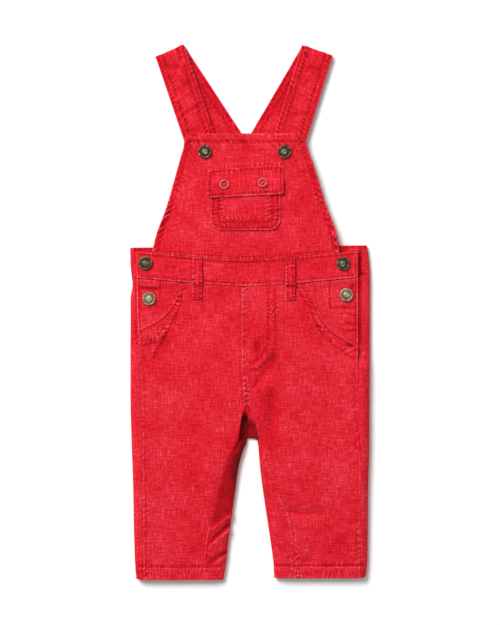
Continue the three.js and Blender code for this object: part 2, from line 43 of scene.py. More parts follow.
# Thicknesses of the cloth, the gap between layers and half the gap at a seam
CLOTH = 1.3
DOUBLE = 2.0
BAND = 2.2
PATCH = 1.5
GAP = 0.35
SEAM = 0.04

# Heights of the laid cloth, widths of its rounded edges, and where the panels start and end
EDGE_HEIGHT = 4.4
OUTER_ROLL = 8
UNDER_ROLL = 6
WEB_HEIGHT = 4.2
BAND_RISE = 0.8
FACING_DROP = 1.65
OPENING_DROP = 0.54
HEM_RISE = 0.6
HEM_DEPTH = 14.2
LEG_END = -276
HEM_ROW = LEG_END + HEM_DEPTH
FRONT_START = 33
BACK_START = 34
WAIST_SETTLE = 40
HEM_SETTLE = 31
FACING_REACH = 5

# Waist seam and waistbands
WAIST_CENTRE = -4.9
WAIST_HALF = 114
WAIST_SAG = 8.8
BAND_TOP = 53.6
BAND_DEPTH = 27.2
BAND_ROWS = (2.3, BAND_DEPTH - 2.4)
BACK_TOP = 67.4
BACK_SEAM = 34.1
BACK_TILT = 0.02

# Centre seam, crotch and the fork between the legs
CENTRE_X = -5.4
CROTCH_Y = -93.7
CROTCH_X = -2.8
FORK_Y = -130
FORK_X = -1.3
FORK_ROUND = 3.5
FORK_RISE = 16
FORK_ROLL = 13
FORK_CLEARANCE = 0.6

# Rows of (y, height) down the garment
CROWN = [
    (70, 10.2), (30, 11.2), (-20, 11.6), (-80, 12.4), (-150, 12.6), (-210, 11.4), (-255, 9.8),
    (-276, 9.0),
]

# Rows of (y, x) for the outlines and seams of each half
# web_top and web_shade: where the painted shade on the web between the legs starts and how dark it is
SIDES = {
    "right": {
        "sign": -1, "inner_roll": 19, "hem": -275.2, "band_end": 21,
        "web_top": -103, "inseam_from": -200, "web_shade": 2.6,
        "outer": [
            (70, -122.8), (50, -122.4), (30, -120.6), (14, -122.8), (-80, -122.8), (-142, -121.5),
            (-194, -119.7), (-250, -118.5), (-276, -117),
        ],
        "seam": [
            (70, -116.2), (30, -116.2), (-38, -114), (-91, -111), (-166, -109.8), (-276, -109.2),
        ],
        "inner": [
            (-133.5, -3), (-145, -7.6), (-161, -11.6), (-190, -15.7), (-231, -21.2), (-260, -24.6),
            (-276, -27),
        ],
        "inseam": [
            (-93.7, -2.9), (-101, -6.2), (-111, -9), (-127, -10.4), (-135, -13.2), (-152, -22.4),
            (-178, -33.2), (-204, -38.9), (-240, -46.1), (-276, -49),
        ],
        "slash": [
            (36, -63.5), (17, -74.7), (2.5, -83.2), (-6.5, -92.6), (-13.8, -104.8), (-18.5, -114.6),
        ],
    },
    "left": {
        "sign": 1, "inner_roll": 12, "hem": -273.3, "band_end": 21,
        "web_top": -111, "inseam_from": -150, "web_shade": 1.8,
        "outer": [
            (70, 120.1), (54, 122.3), (30, 123.8), (-80, 123.4), (-142, 122.9), (-194, 121.8),
            (-250, 121.2), (-276, 119),
        ],
        "seam": [
            (70, 111), (30, 111.4), (-34, 111.3), (-91, 111), (-163, 114.2), (-214, 113.1),
            (-276, 114),
        ],
        "inner": [
            (-133.5, 8.5), (-161, 10.7), (-194, 15.1), (-227, 20.1), (-260, 24.4), (-276, 25.2),
        ],
        "inseam": [
            (-93.7, -2.7), (-101, 2), (-111, 5.4), (-127, 8), (-135, 10.6), (-152, 17.5),
            (-176, 26.7), (-195, 34.2), (-206, 40.1), (-234, 45.2), (-276, 44.5),
        ],
        "slash": [
            (36, 51), (9.7, 67.2), (-7.4, 75.9), (-18, 84.4), (-27, 97.6), (-35.5, 111),
        ],
    },
}

for half in SIDES.values():
    half["slash_end"] = half["slash"][-1][0]

# The largest folds as (from, to, width, depth), where a negative depth is a ridge
FOLDS = [
    ((31, -82), (14, -140), 9, 1.7), ((36, -205), (78, -207), 6, 1.3),
    ((22, -52), (4, -80), 7, 1.3), ((-92, -28), (-104, -56), 7, 1.2),
    ((-33, -150), (-44, -205), 9, -0.9), ((-21.4, -219.4), (-38.9, -236.4), 3.2, 2.0),
    ((-23.9, -245.1), (-43, -258.5), 3.2, 1.8), ((-17, -150), (-29, -200), 6, 2.2),
    ((48, -252), (66, -256), 6, 1.1), ((70, -60), (90, -150), 20, 0.8),
    ((-80, -70), (-75, -150), 20, 0.7),
]

# Rows of (y, lowest x, highest x, height) down the bib
BIB = [
    (183.4, -58, 50, 9.3), (182.2, -63.5, 54.8, 9.3), (178, -66.8, 57.6, 9.4),
    (170, -67.9, 59, 9.5), (156, -71.8, 64, 9.9), (115, -83.4, 77, 10.8), (75, -96, 89.6, 11.3),
    (53, -100.5, 92.5, 11.5),
]
BIB_DROOP = 1.3
BIB_HEM = 6.6
BIB_ROW = 175.1
POCKET_ROWS = (2.6, 8.6)
POCKET = {"low": -40.2, "high": 31.9, "bottom": 83.7, "top": 129, "corner": 12}
FLAP = {"low": -43.4, "high": 35, "top": 148.1, "bottom": 118.7, "tilt": 0.05, "corner": 3}
FLAP_MIDDLE = (FLAP["low"] + FLAP["high"]) / 2
FLAP_HALF = (FLAP["high"] - FLAP["low"]) / 2
FLAP_DROP = FLAP["top"] - FLAP["bottom"]
FLAP_ROWS = (2.8, FLAP_DROP - 2, FLAP_DROP - 7)
LOOPS = {"belt_loop_right": (-53.6, 56.6, 12.4), "belt_loop_left": (41.7, 56.2, 11.8)}
LOOP_WIDTH = 9.8
LOOP_ROW = 3.1
LOOP_TACK = 2.2
LOOP_ARCH = 0.7

STRAPS = {
    "strap_right": {
        "outer": (-97.3, 262.4), "inner": (-67.9, 275.6), "back": (0.548, -0.836),
        "front": (0.322, -0.947), "raised_below": 92,
    },
    "strap_left": {
        "outer": (85.6, 264), "inner": (53.9, 275), "back": (-0.504, -0.864),
        "front": (-0.295, -0.955), "raised_below": 205,
    },
}
STRAP_HEIGHT = 6.6
STRAP_RAISE = DOUBLE + GAP
STRAP_BACK_END = 46
STRAP_FRONT_END = 132
STRAP_ROWS = (2.2, 7.6)
STRAP_LINES = (260, -160)
STRAP_STITCHED = (3, 92)

BUTTONS = {
    "button_bib_right": (-46.1, 164.3, "bib"), "button_bib_left": (35.6, 164.3, "bib"),
    "button_waist_right": (-106.9, 50, "band"), "button_waist_left": (95.7, 49.4, "band"),
    "button_side_right": (-103.3, 13.6, "facing"), "button_side_left": (99.1, 17.5, "facing"),
}
SNAPS = {"snap_right": (-26, 130.7), "snap_left": (13.1, 132.4)}

# Fineness of the meshes
COLUMNS = {"leg": 100, "under": 34, "facing": 44, "back_band": 100, "bib": 190, "pocket": 92, "flap": 98}
LEG_STEP = 1.1
BIB_STEP = 0.9
FINE_STEP = 0.75
EDGE_STATIONS = np.array([0, 0.15, 0.4, 0.85, 1.5])
EDGE_ROUND = 0.66
EDGE_DROP = 0.95
EDGE_WEAR = 0.4
# Painted shade on the inside face of the cloth
INSIDE_SHADE = -0.3
SOFT_SEAM = 0.35

# Stitches
STITCH_PITCH = 3.1
STITCH_LENGTH = 2.5
BAR_PITCH = 0.75
TACK_WIDTH = 2.2
LOOP_TACK_WIDTH = 2.0
WANDER = 0.12
THREAD_RADIUS = 0.24
THREAD_SIDES = 6
# Rings of a stitch as (share of its length, size, lift)
THREAD_RINGS = [
    (0.0, 0.2, -0.75), (0.12, 0.8, -0.25), (0.3, 1.0, 0.15), (0.7, 1.0, 0.15), (0.88, 0.8, -0.25),
    (1.0, 0.2, -0.75),
]

# Start of each surface's random draws
SEEDS = {
    "leg": 11, "facing": 61, "band": 83, "bib": 131, "pocket": 171, "flap": 191, "under": 211,
    "back_band": 251, "loop": 271, "strap": 301,
}

# Strength of the relief, and of the wear and painted shade that it leaves in the colour
LINE_STRENGTH = 1.5
LINE_SPREAD = 1.25
RIDGE_WEAR = 0.65
# Painted shade in grooves, creases and the shadowed folds of the cloth
GROOVE_SHADE = 1.3
PUCKER_STRENGTH = 2.3
# Pucker crests lighter as wear, their troughs painted darker as shade
PUCKER_WEAR_AND_SHADING = 0.85
CORNER_LIFT = 1.6
FACING_STRENGTH = 1.5
# Strength of the wear and painted shade along the facing's wrinkles
FACING_WEAR_AND_SHADING = 1.6


# Small maths

FAR = 1.0e9

def smooth(value):
    t = np.clip(value, 0, 1)
    return t * t * (3 - 2 * t)


def quarter(share):
    """Quarter of a circle: 0 at the edge, 1 from a whole width inwards"""
    rest = 1 - np.clip(share, 0, 1)
    return np.sqrt(1 - rest * rest)


def mix(a, b, share):
    return a + (b - a) * share


def bell(value):
    return np.exp(-value * value)


def hermite(t, start, end, start_run, end_run):
    """Cubic from start to end, which sets out and arrives with the given runs"""
    return (
        (2 * t**3 - 3 * t**2 + 1) * start + (t**3 - 2 * t**2 + t) * start_run
        + (3 * t**2 - 2 * t**3) * end + (t**3 - t**2) * end_run
    )


def along(table, y, column=1):
    """Smooth value of one column of a table whose rows run down in y, without overshoot"""
    rows = np.array(table, float)[::-1]
    knots, values = rows[:, 0], rows[:, column]
    slopes = np.diff(values) / np.diff(knots)
    before = np.concatenate([slopes[:1], slopes])
    after = np.concatenate([slopes, slopes[-1:]])
    total = before + after
    tangents = np.where(before * after > 0, 2 * before * after / np.where(total == 0, 1, total), 0)
    y = np.clip(y, knots[0], knots[-1])
    at = np.clip(np.searchsorted(knots, y, side="right") - 1, 0, len(knots) - 2)
    span = knots[at + 1] - knots[at]
    t = (y - knots[at]) / span
    return hermite(t, values[at], values[at + 1], span * tangents[at], span * tangents[at + 1])


def lattice(i, j, seed):
    """Repeatable value from 0 to 1 at whole numbers"""
    mask = 0xFFFFFFFF
    h = (i * 374761393 + j * 668265263 + seed * 974634777) & mask
    h = ((h ^ (h >> 13)) * 1274126177) & mask
    return ((h ^ (h >> 16)) & 0xFFFF) / 65535.0


def noise(x, y, seed):
    """Smooth noise from -1 to 1"""
    x, y = np.broadcast_arrays(np.asarray(x, float), np.asarray(y, float))
    i, j = np.floor(x).astype(np.int64), np.floor(y).astype(np.int64)
    u, v = smooth(x - i), smooth(y - j)
    low = mix(lattice(i, j, seed), lattice(i + 1, j, seed), u)
    high = mix(lattice(i, j + 1, seed), lattice(i + 1, j + 1, seed), u)
    return 2 * mix(low, high, v) - 1


# Routes

def curve(points, step=3.0):
    """Route through points, rounded between them"""
    points = np.array(points, float)
    before = np.vstack([2 * points[0] - points[1], points[:-1]])
    after = np.vstack([points[1:], 2 * points[-1] - points[-2]])
    tangents = (after - before) / 2
    route = []
    for index in range(len(points) - 1):
        length = np.linalg.norm(points[index + 1] - points[index])
        t = np.linspace(0, 1, max(2, int(length / step) + 1), endpoint=False)[:, None]
        route.append(hermite(t, *points[index:index + 2], *tangents[index:index + 2]))
    return np.vstack([*route, points[-1:]])


def as_route(points):
    """A list of points is rounded into a route, and a route stays as it is"""
    return points if isinstance(points, np.ndarray) else curve(points)


def upright(x, start, end):
    return curve([(x, start), (x, end)])


def shifted(route, offset):
    """Route moved sideways, to its left where the offset is positive"""
    route = as_route(route)
    run = np.gradient(route, axis=0)
    run /= np.linalg.norm(run, axis=1)[:, None]
    return route + offset * np.column_stack([-run[:, 1], run[:, 0]])


def table_route(table, start, end, offset=0.0):
    """Route down a table of outlines"""
    y = np.linspace(start, end, max(3, int(abs(end - start) / 4)))
    return np.column_stack([along(table, y) + offset, y])


def nearest(route, x, y, reach):
    """The points within reach of a route, their signed distance from it and their way along it"""
    low, high = route.min(0) - reach, route.max(0) + reach
    found = np.flatnonzero((x > low[0]) & (x < high[0]) & (y > low[1]) & (y < high[1]))
    px, py = x[found], y[found]
    best = np.full(len(found), FAR)
    side = np.zeros(len(found))
    way = np.zeros(len(found))
    walked = 0.0
    for start, end in zip(route[:-1], route[1:]):
        run = end - start
        length = np.hypot(*run)
        if length < 1e-9:
            continue
        share = np.clip(((px - start[0]) * run[0] + (py - start[1]) * run[1]) / length**2, 0, 1)
        dx, dy = px - start[0] - share * run[0], py - start[1] - share * run[1]
        away = np.hypot(dx, dy)
        closer = away < best
        best = np.where(closer, away, best)
        side = np.where(closer, np.sign(run[0] * dy - run[1] * dx), side)
        way = np.where(closer, walked + share * length, way)
        walked += length
    return found, best * side, way


# Plan and heights of the laid garment

def inner_edge(side, y):
    """Inside edge of a leg, which starts as the rounded corner of the fork"""
    depth = (FORK_Y - y) / FORK_ROUND
    reach = np.cbrt(1 - (1 - np.clip(depth, 0, 1)) ** 3)
    corner = mix(FORK_X, side["inner"][0][1], reach)
    return np.where(depth >= 1, along(side["inner"], y), corner)


def fork_route(side):
    y = np.concatenate([
        FORK_Y - FORK_ROUND * np.linspace(0, 1, 10) ** 2, np.linspace(FORK_Y - FORK_ROUND, LEG_END, 15)[1:],
    ])
    return np.column_stack([inner_edge(side, y), y])


FORK = [fork_route(side) for side in SIDES.values()]


def plan_distances(x, y):
    """Distances inwards from the outer silhouette and from the fork between the legs"""
    flat_x, flat_y = np.ravel(x).astype(float), np.ravel(y).astype(float)
    outer = np.minimum(
        flat_x - along(SIDES["right"]["outer"], flat_y), along(SIDES["left"]["outer"], flat_y) - flat_x)
    outer = np.maximum(0, outer)
    fork = np.full(len(flat_x), FAR)
    low = flat_y < FORK_Y + 45
    for route in FORK:
        found, distance, _ = nearest(route, flat_x[low], flat_y[low], FAR)
        inside = np.flatnonzero(low)[found]
        fork[inside] = np.minimum(fork[inside], np.abs(distance))
    fork[~low] = np.hypot(flat_x[~low] - FORK_X, flat_y[~low] - FORK_Y)
    return outer.reshape(np.shape(x)), fork.reshape(np.shape(x))


def waist_sag(x):
    return WAIST_SAG * (np.abs(x - WAIST_CENTRE) / WAIST_HALF) ** 1.3


def back_top(x):
    return BACK_TOP + BACK_TILT * 0.5 * x


def back_seam(x):
    return BACK_SEAM + BACK_TILT * x


def front_seam(x):
    return BAND_TOP - BAND_DEPTH + waist_sag(x) - 2 * SEAM


def edge_between(outer, fork, y):
    """Height of the silhouette: low at the fork, where the crotch is a single fold"""
    leg = mix(WEB_HEIGHT / 2, EDGE_HEIGHT, smooth((FORK_Y - y) / FORK_RISE))
    return mix(EDGE_HEIGHT, leg, outer / (outer + fork + 0.001))


def edge_height(x, y):
    return edge_between(*plan_distances(x, y), y)


def fold_relief(x, y):
    relief = np.zeros(np.shape(x))
    for (from_x, from_y), (to_x, to_y), width, depth in FOLDS:
        run_x, run_y = to_x - from_x, to_y - from_y
        length = np.hypot(run_x, run_y)
        share = ((x - from_x) * run_x + (y - from_y) * run_y) / length**2
        across = ((x - from_x) * run_y - (y - from_y) * run_x) / length
        ends = smooth((share + 0.2) / 0.4) * smooth((1.2 - share) / 0.4)
        relief = relief + depth * ends * bell(across / width)
    return relief


def top(x, y):
    """Top of the laid cloth"""
    outer, fork = plan_distances(x, y)
    edge = edge_between(outer, fork, y)
    steep = mix(FORK_ROLL, SIDES["right"]["inner_roll"], smooth((-138 - y) / 55))
    roll = mix(steep, SIDES["left"]["inner_roll"], smooth((x - FORK_X + 8) / 16))
    rounding = quarter(outer / OUTER_ROLL) * quarter(fork / roll)
    hem = HEM_RISE * smooth((HEM_ROW + 1 - y) / 1.5)
    return mix(edge, along(CROWN, y) + hem - fold_relief(x, y), rounding)


def back_top_side(side, x, y):
    """The back's share of the top, which dips under the front at the side openings"""
    dip = OPENING_DROP * smooth((y - side["slash_end"] + 22) / 16)
    return mix(edge_height(x, y), top(x, y), 1 - dip)


def under(x, y):
    """Underside of the laid cloth, flat but for its rounded edges"""
    outer, fork = plan_distances(x, y)
    edge = edge_between(outer, fork, y)
    return edge * (1 - quarter(np.minimum(outer, fork) / UNDER_ROLL))


def bib_top(x, y):
    middle = (along(BIB, y, 1) + along(BIB, y, 2)) / 2
    half = (along(BIB, y, 2) - along(BIB, y, 1)) / 2
    across = np.abs(x - middle) / half
    sag = 1.1 * smooth((y - 120) / 60) * (1 - smooth(across * 1.6))
    return along(BIB, y, 3) - BIB_DROOP * across**4 * smooth((150 - y) / 40) - sag


def rows_of(levels, x):
    """The level of each point of a grid whose rows have these levels"""
    return np.repeat(np.ravel(levels)[:, None], x.shape[1], 1)


def settle(side, x, y, seam_line, start):
    """Moves a nominal row to the waist seam above and to the hem below, which rises at the side"""
    outer, _ = plan_distances(x, y)
    lift = CORNER_LIFT * (1 - quarter(outer / 9))
    waist = (seam_line(x) - start) * smooth((y + WAIST_SETTLE) / (start + WAIST_SETTLE))
    hem = (side["hem"] - LEG_END + lift) * smooth((LEG_END + HEM_SETTLE - y) / HEM_SETTLE)
    return y + waist + hem


# Relief: puckers, seams and creases, with the wear and the painted shade that they leave in the colour

class Relief:
    """Height, and wear with painted shade for the colour, over a surface, which start from rumples as (size,
    wave, stretch)
    """

    def __init__(self, x, y, seed, *rumples):
        self.shape = np.shape(x)
        self.x, self.y = np.ravel(x).astype(float), np.ravel(y).astype(float)
        self.height = np.zeros(len(self.x))
        self.wear_and_shading = np.zeros(len(self.x))
        self.seed = seed
        for rumple in rumples:
            self.rumple(*rumple)

    def done(self):
        return self.height.reshape(self.shape), self.wear_and_shading.reshape(self.shape)

    def rumple(self, size, wave, stretch=1.0):
        """Soft unevenness of washed cloth"""
        self.seed += 1
        self.height += size * noise(self.x / wave, self.y / (wave * stretch), self.seed)

    def line(self, route, height, width, wear_and_shading, fade=4.0):
        """Ridge along a route, or a groove where the height is negative; a positive wear_and_shading
        lightens the colour, a negative one paints shade into it
        """
        route = as_route(route)
        width = LINE_SPREAD * width
        found, away, way = nearest(route, self.x, self.y, 3 * width)
        length = np.linalg.norm(np.diff(route, axis=0), axis=1).sum()
        ends = smooth(way / fade + 0.3) * smooth((length - way) / fade + 0.3)
        uneven = 0.85 + 0.3 * noise(way / 9, way * 0, self.seed + 3)
        shape = bell(away / width) * ends * uneven
        self.height[found] += LINE_STRENGTH * height * shape
        self.wear_and_shading[found] += (RIDGE_WEAR if wear_and_shading > 0 else GROOVE_SHADE) * wear_and_shading * shape

    def pucker(self, route, size, wave, reach, slant=0.0, offset=0.0, wear_and_shading=0.7):
        """Small ridges across a route, where the seam has drawn the cloth up, lighter on their crests and
        with painted shade in their troughs
        """
        route = as_route(route)
        self.seed += 7
        found, away, way = nearest(route, self.x, self.y, abs(offset) + 2.6 * reach)
        phase = (way + slant * away) / wave
        ripple = np.sin(2 * np.pi * (phase + 0.75 * noise(phase * 0.6, away / 6, self.seed)))
        strength = np.clip(0.65 + 0.75 * noise(phase * 0.45, away * 0, self.seed + 1), 0, 1.4)
        shape = ripple * strength * bell((away - offset) / reach)
        self.height[found] += PUCKER_STRENGTH * size * shape
        self.wear_and_shading[found] += PUCKER_WEAR_AND_SHADING * wear_and_shading * shape


def topstitched(cloth, route, size=0.25, wave=4.4, reach=2.6, offset=0.0, slant=0.0, groove=0.3):
    """A row of stitches with its groove, which has painted shade, and puckers"""
    cloth.line(route, -groove, 1.0, -0.8)
    cloth.pucker(route, size, wave, reach, slant, offset, 0.8)


def slash_edge(side):
    """Edge of a slash pocket, from the waist to the side seam"""
    return table_route(side["slash"], 32, side["slash_end"])


# Inner rows of stitches round the slash pockets
SLASH_ROWS = {
    "right": curve([
        (-68.2, 30), (-69.8, 15.5), (-73.4, 2.1), (-79.1, -10.3), (-85.2, -20.6), (-92.4, -28.8),
        (-102.7, -33), (-112, -34),
    ]),
    "left": curve([
        (47.5, 30), (51.6, 19.6), (62.8, 2.1), (69.3, -14.4), (79.2, -27.8), (94.9, -40.2),
        (104.8, -46.9), (109.5, -48.5),
    ]),
}
CENTRE_FRONT = curve([(CENTRE_X, 26), (CENTRE_X, -54.6), (-4.4, -75.2), (-2.8, -92.5)])
FLY_OUTER = curve([(26.4, 27), (26.4, -10), (26.2, -28.8), (21.9, -45.3), (8.5, -58.2), (-1.5, -60)])
FLY_INNER = curve([(19.4, 27), (19.4, -10), (19.2, -27), (15.6, -39.5), (5.5, -50.5), (-2.2, -52)])
FLY_TACK = curve([(6.4, -24.7), (18.8, -24.7)])
CROTCH_TACK = curve([(-6.5, -90.5), (0.5, -90.5)])
CENTRE_BACK = curve([(FORK_X, 30), (FORK_X, -40), (FORK_X, FORK_Y + 8)])
YOKE_ROW = curve([(-105, 27), (-60, 14), (FORK_X, 4), (60, 14), (108, 27)])


def hem_row(side, level, inset=3.0):
    """Route across a leg at a nominal level"""
    y = np.full(30, float(level))
    outer, inner = along(side["outer"], y), along(side["inner"], y)
    x = np.linspace(outer[0] - side["sign"] * inset, inner[0] + side["sign"] * inset, 30)
    return np.column_stack([x, settle(side, x, y, back_seam, BACK_START)])


def leg_relief(x, y):
    """Relief of the trousers' front, shared by its panels so that puckers cross the seams"""
    cloth = Relief(x, y, SEEDS["leg"], (0.3, 34), (0.16, 15, 1.6), (0.06, 5.5))
    for name, side in SIDES.items():
        sign, end = side["sign"], side["slash_end"]
        edge = slash_edge(side)
        cloth.line(shifted(edge, -sign * 0.9), 0.35, 0.8, 0.6)
        cloth.line(shifted(edge, -sign * 2.7), -0.4, 0.9, -0.7)
        cloth.pucker(shifted(edge, -sign * 2.9), 0.16, 3.8, 2.0, 0.5, 0, 0.4)
        row = SLASH_ROWS[name]
        topstitched(cloth, row, 0.34, 4.6, 3.2, offset=sign * 2.2, slant=-sign * 0.7)
        cloth.pucker(row[len(row) // 2:], 0.5, 5.2, 4.2, sign * 0.8, sign * 4, 0.6)
        seam = table_route(side["seam"], end, LEG_END + 4)
        cloth.line(shifted(seam, -sign * 1.3), 0.35, 0.8, 0.5)
        cloth.line(shifted(seam, -sign * 3), -0.2, 0.6, -0.4)
        cloth.pucker(seam, 0.12, 6.5, 3.0, 0.3, -sign * 2, 0.5)
        inseam = table_route(side["inseam"], side["inseam_from"], LEG_END + 4)
        cloth.line(shifted(inseam, -sign * 1.4), 0.35, 0.8, 0.6)
        cloth.pucker(inseam, 0.2, 5.2, 3.2, 0.6, -sign * 1.5, 0.5)
        cloth.pucker(inseam[len(inseam) * 2 // 3:], 0.3, 6.0, 5.5, 0.3, sign * 3)
        hem = hem_row(side, HEM_ROW)
        topstitched(cloth, hem, 0.15, 4.2, 3.0, groove=0.5)
        cloth.line(hem, -0.1, 0.7, -0.5)
        cloth.line(shifted(hem, sign * 1.5), 0.3, 0.8, 0.9)
        cloth.pucker(hem_row(side, LEG_END + 5), 0.22, 3.6, 4.5, 0.2)
        cloth.line(hem_row(side, LEG_END + 1.2), 0.15, 0.9, 0.3)
    cloth.line(shifted(CENTRE_FRONT, -1.6), 0.45, 0.9, 0.6)
    cloth.line(shifted(CENTRE_FRONT, -4), -0.2, 0.7, -0.3)
    cloth.pucker(CENTRE_FRONT, 0.2, 5.5, 3.6, 0.3)
    cloth.pucker(CENTRE_FRONT[-9:], 0.45, 4.2, 4.5, 0.5)
    topstitched(cloth, FLY_OUTER, 0.3, 4.4, 3.0, offset=-1.5, slant=0.5)
    topstitched(cloth, FLY_INNER, 0.26, 4.0, 2.6, slant=-0.4)
    cloth.line(FLY_TACK, 0.3, 1.0, -0.4)
    for route, height, width, wear_and_shading in LEG_CREASES:
        cloth.line(route, height, width, wear_and_shading, 8)
    return cloth.done()


# Creases of the trousers' front as (route, height, width, wear and painted shade); wide entries with little
# height are painted shade
LEG_CREASES = [
    ([(22, -54), (13, -66), (3, -79)], -0.9, 2.2, -0.5),
    ([(25, -50), (17, -63), (8, -75)], 0.5, 2.0, 0.2),
    ([(-113, -34), (-107, -34.4)], -0.6, 0.8, -0.6),
    ([(-83, -13), (-92, -29), (-102, -46)], 0.8, 1.3, 0.9),
    ([(-83, -20), (-91, -33), (-99.5, -49)], -0.7, 1.6, -0.6),
    # Painted shade beside the slash pocket's fold
    ([(-83, -24), (-88, -35), (-96, -48)], -0.2, 5.0, -0.5),
    # Painted shade by the fly and below its curve
    ([(8.6, -27), (7.4, -38), (6.5, -47)], -0.4, 2.6, -0.9),
    ([(27, -40), (24, -48), (18, -57)], -0.5, 3.0, -0.8),
    # Painted shadow down both side openings
    ([(113.2, 34), (113.2, -34)], -0.4, 1.1, -1.5), ([(-117, 30), (-116.2, -34)], -0.2, 0.9, -0.6),
    # Painted shade along the fork's edge of the right leg
    ([(-8, -116), (-11, -131), (-17, -148), (-27, -174)], -0.1, 3.0, -0.5),
    ([(-122, 27), (-114, 28.4)], -0.5, 1.2, -0.8),
    ([(97, -34), (111, -34.5)], -1.0, 1.1, -1.2),
    ([(98, -37.5), (111, -38)], 0.5, 1.5, 0.3),
    ([(37, -205), (58, -206.5), (78, -206)], -0.6, 1.8, -0.3),
    ([(50, -254), (62, -256.5), (73, -255)], -0.7, 1.8, -0.35),
    ([(15, -163), (25, -176), (33, -190)], -0.8, 3.0, -0.3),
    ([(20, -205), (28, -208), (38, -206)], 0.5, 2.0, 0.2),
    ([(26, -240), (34, -244), (43, -243)], -0.4, 1.8, -0.2),
    ([(90, -210), (104, -216), (117, -215)], -0.5, 2.6, -0.2),
    ([(84, -232), (100, -236), (115, -231)], 0.4, 3.0, 0.1),
    ([(-12, -203), (-19, -208.6), (-29, -216), (-41, -225)], 1.4, 1.3, 1.4),
    ([(-15, -218.5), (-21.5, -224.2), (-32, -232.6), (-43.5, -242.5)], 1.5, 1.4, 1.4),
    ([(-20, -246.5), (-27, -251.5), (-35.5, -258.5)], 1.0, 1.2, 1.2),
    ([(-15, -213.5), (-21.2, -219), (-31, -228), (-42, -238.5)], -0.9, 1.5, -1.4),
    ([(-39.5, -222), (-43, -238), (-45.3, -257)], -0.3, 0.9, -0.8),
    ([(-18, -243), (-26, -248), (-34.5, -253.5), (-44, -259.5)], -0.9, 1.4, -1.6),
    # Painted shade on the right leg's inside strip and at the fork, which face away from the light
    ([(-11.5, -142), (-15.5, -156), (-20.5, -170), (-26, -186), (-31, -203), (-36, -221)],
     -0.3, 5.4, -0.95),
    ([(-13, -166), (-16.5, -180), (-20, -196), (-23.5, -210)], -0.1, 4.4, -0.9),
    ([(-2, -119), (-4.5, -131), (-8, -142), (-11.5, -156), (-15, -172)], -0.1, 4.2, -2.1),
    # Painted shade on the side of the fold beside the fork that faces away from the light
    ([(17, -76), (21, -100), (23, -122), (19, -142)], -0.2, 7.0, -0.5),
    ([(34, -60), (32, -84), (36, -112)], 0.2, 4.0, 0.2),
    ([(86, -236), (97, -230), (106, -221)], -0.3, 4.0, -0.35),
]


def facing_relief(x, y):
    cloth = Relief(x, y, SEEDS["facing"], (0.22, 16), (0.08, 6))
    # Wrinkles of the facing, lighter on their ridges and with painted shade in their troughs
    creases = [
        ([(-91.8, 34), (-91.8, 18)], -0.35, 0.8, -0.5), ([(-93.6, 33), (-93.6, 19)], 0.25, 0.9, 0.3),
        ([(-114, 25), (-102, 23.6), (-93, 23.8)], -0.9, 1.3, -0.8),
        ([(-114, 28), (-102, 27), (-93, 27)], 0.45, 1.5, 0.5),
        ([(82.2, 36), (82.4, 2)], -0.35, 0.8, -0.5), ([(80.4, 36), (80.6, 2)], 0.25, 0.9, 0.3),
        ([(84, 4.1), (110, 4.1)], -0.45, 1.0, -0.5), ([(84, 1.6), (110, 1.6)], 0.25, 1.0, 0.3),
        ([(103, 20), (104.3, 22.7), (107.6, 29)], -0.8, 1.3, -0.6),
        ([(100, -2), (111, -5)], -0.3, 1.2, -0.3), ([(-112, -2), (-98, -1)], 0.3, 1.8, 0.2),
        ([(-112, -9), (-103, -9)], -0.3, 1.2, -0.3),
        ([(97, -11), (104, -12.4), (110.5, -13)], -0.6, 1.0, -0.6),
        ([(97, -15), (110.5, -16)], 0.35, 1.3, 0.4),
        ([(98, -19.8), (104, -19.2), (110.5, -18)], -0.6, 1.0, -0.6),
        ([(99, -23.5), (110, -22.5)], 0.35, 1.3, 0.4),
    ]
    for route, height, width, wear_and_shading in creases:
        cloth.line(route, FACING_STRENGTH * height, width, FACING_WEAR_AND_SHADING * wear_and_shading)
    for side in SIDES.values():
        seam = table_route(side["seam"], 36, side["slash_end"] - 3)
        cloth.line(shifted(seam, -side["sign"] * 0.9), 0.3, 0.8, 1.1)
        cloth.line(shifted(seam, -side["sign"] * 2.3), -0.3, 0.7, -0.9)
    return cloth.done()


def band_row(drop, inset=0.0):
    """Route along the front waistband, a distance below its upper edge"""
    x = np.linspace(SIDES["right"]["seam"][0][1] + inset, SIDES["left"]["seam"][0][1] - inset, 70)
    return np.column_stack([x, BAND_TOP + waist_sag(x) - drop])


def band_end(side):
    """Route of the row along one end of the front waistband"""
    return upright(side["seam"][0][1] - side["sign"] * 2.4, 58, 38)


def band_relief(x, y):
    cloth = Relief(x, y, SEEDS["band"], (0.2, 26), (0.14, 9), (0.05, 4.5))
    cloth.line(band_row(0.9), 0.25, 0.8, 0.3, 0.1)
    cloth.line(band_row(BAND_ROWS[0]), -0.15, 0.9, -0.25, 0.1)
    topstitched(cloth, band_row(BAND_ROWS[0], 3), 0.16, 4.6, 2.4, slant=0.4, groove=0.25)
    topstitched(cloth, band_row(BAND_ROWS[1], 3), 0.18, 4.2, 2.4, slant=-0.4, groove=0.25)
    cloth.line(band_row(BAND_DEPTH - 1.0), 0.4, 0.9, 1.1, 0.1)
    for side in SIDES.values():
        row = band_end(side)
        cloth.line(row, -0.3, 0.7, -0.8)
        cloth.line(shifted(row, -1.6), 0.3, 0.7, 0.8)
        cloth.line(shifted(row, 1.6), 0.3, 0.7, 0.8)
    for middle, _, _ in LOOPS.values():
        for offset in (-LOOP_WIDTH / 2 - 1.2, LOOP_WIDTH / 2 + 1.2):
            cloth.line(upright(middle + offset, 55, 28), -0.22, 0.9, -0.35)
    return cloth.done()


def bib_y(x, level):
    """The bib's rows follow the waist seam where they near it"""
    return level + (waist_sag(x) + 2 * SEAM) * smooth((110 - level) / 56.4)


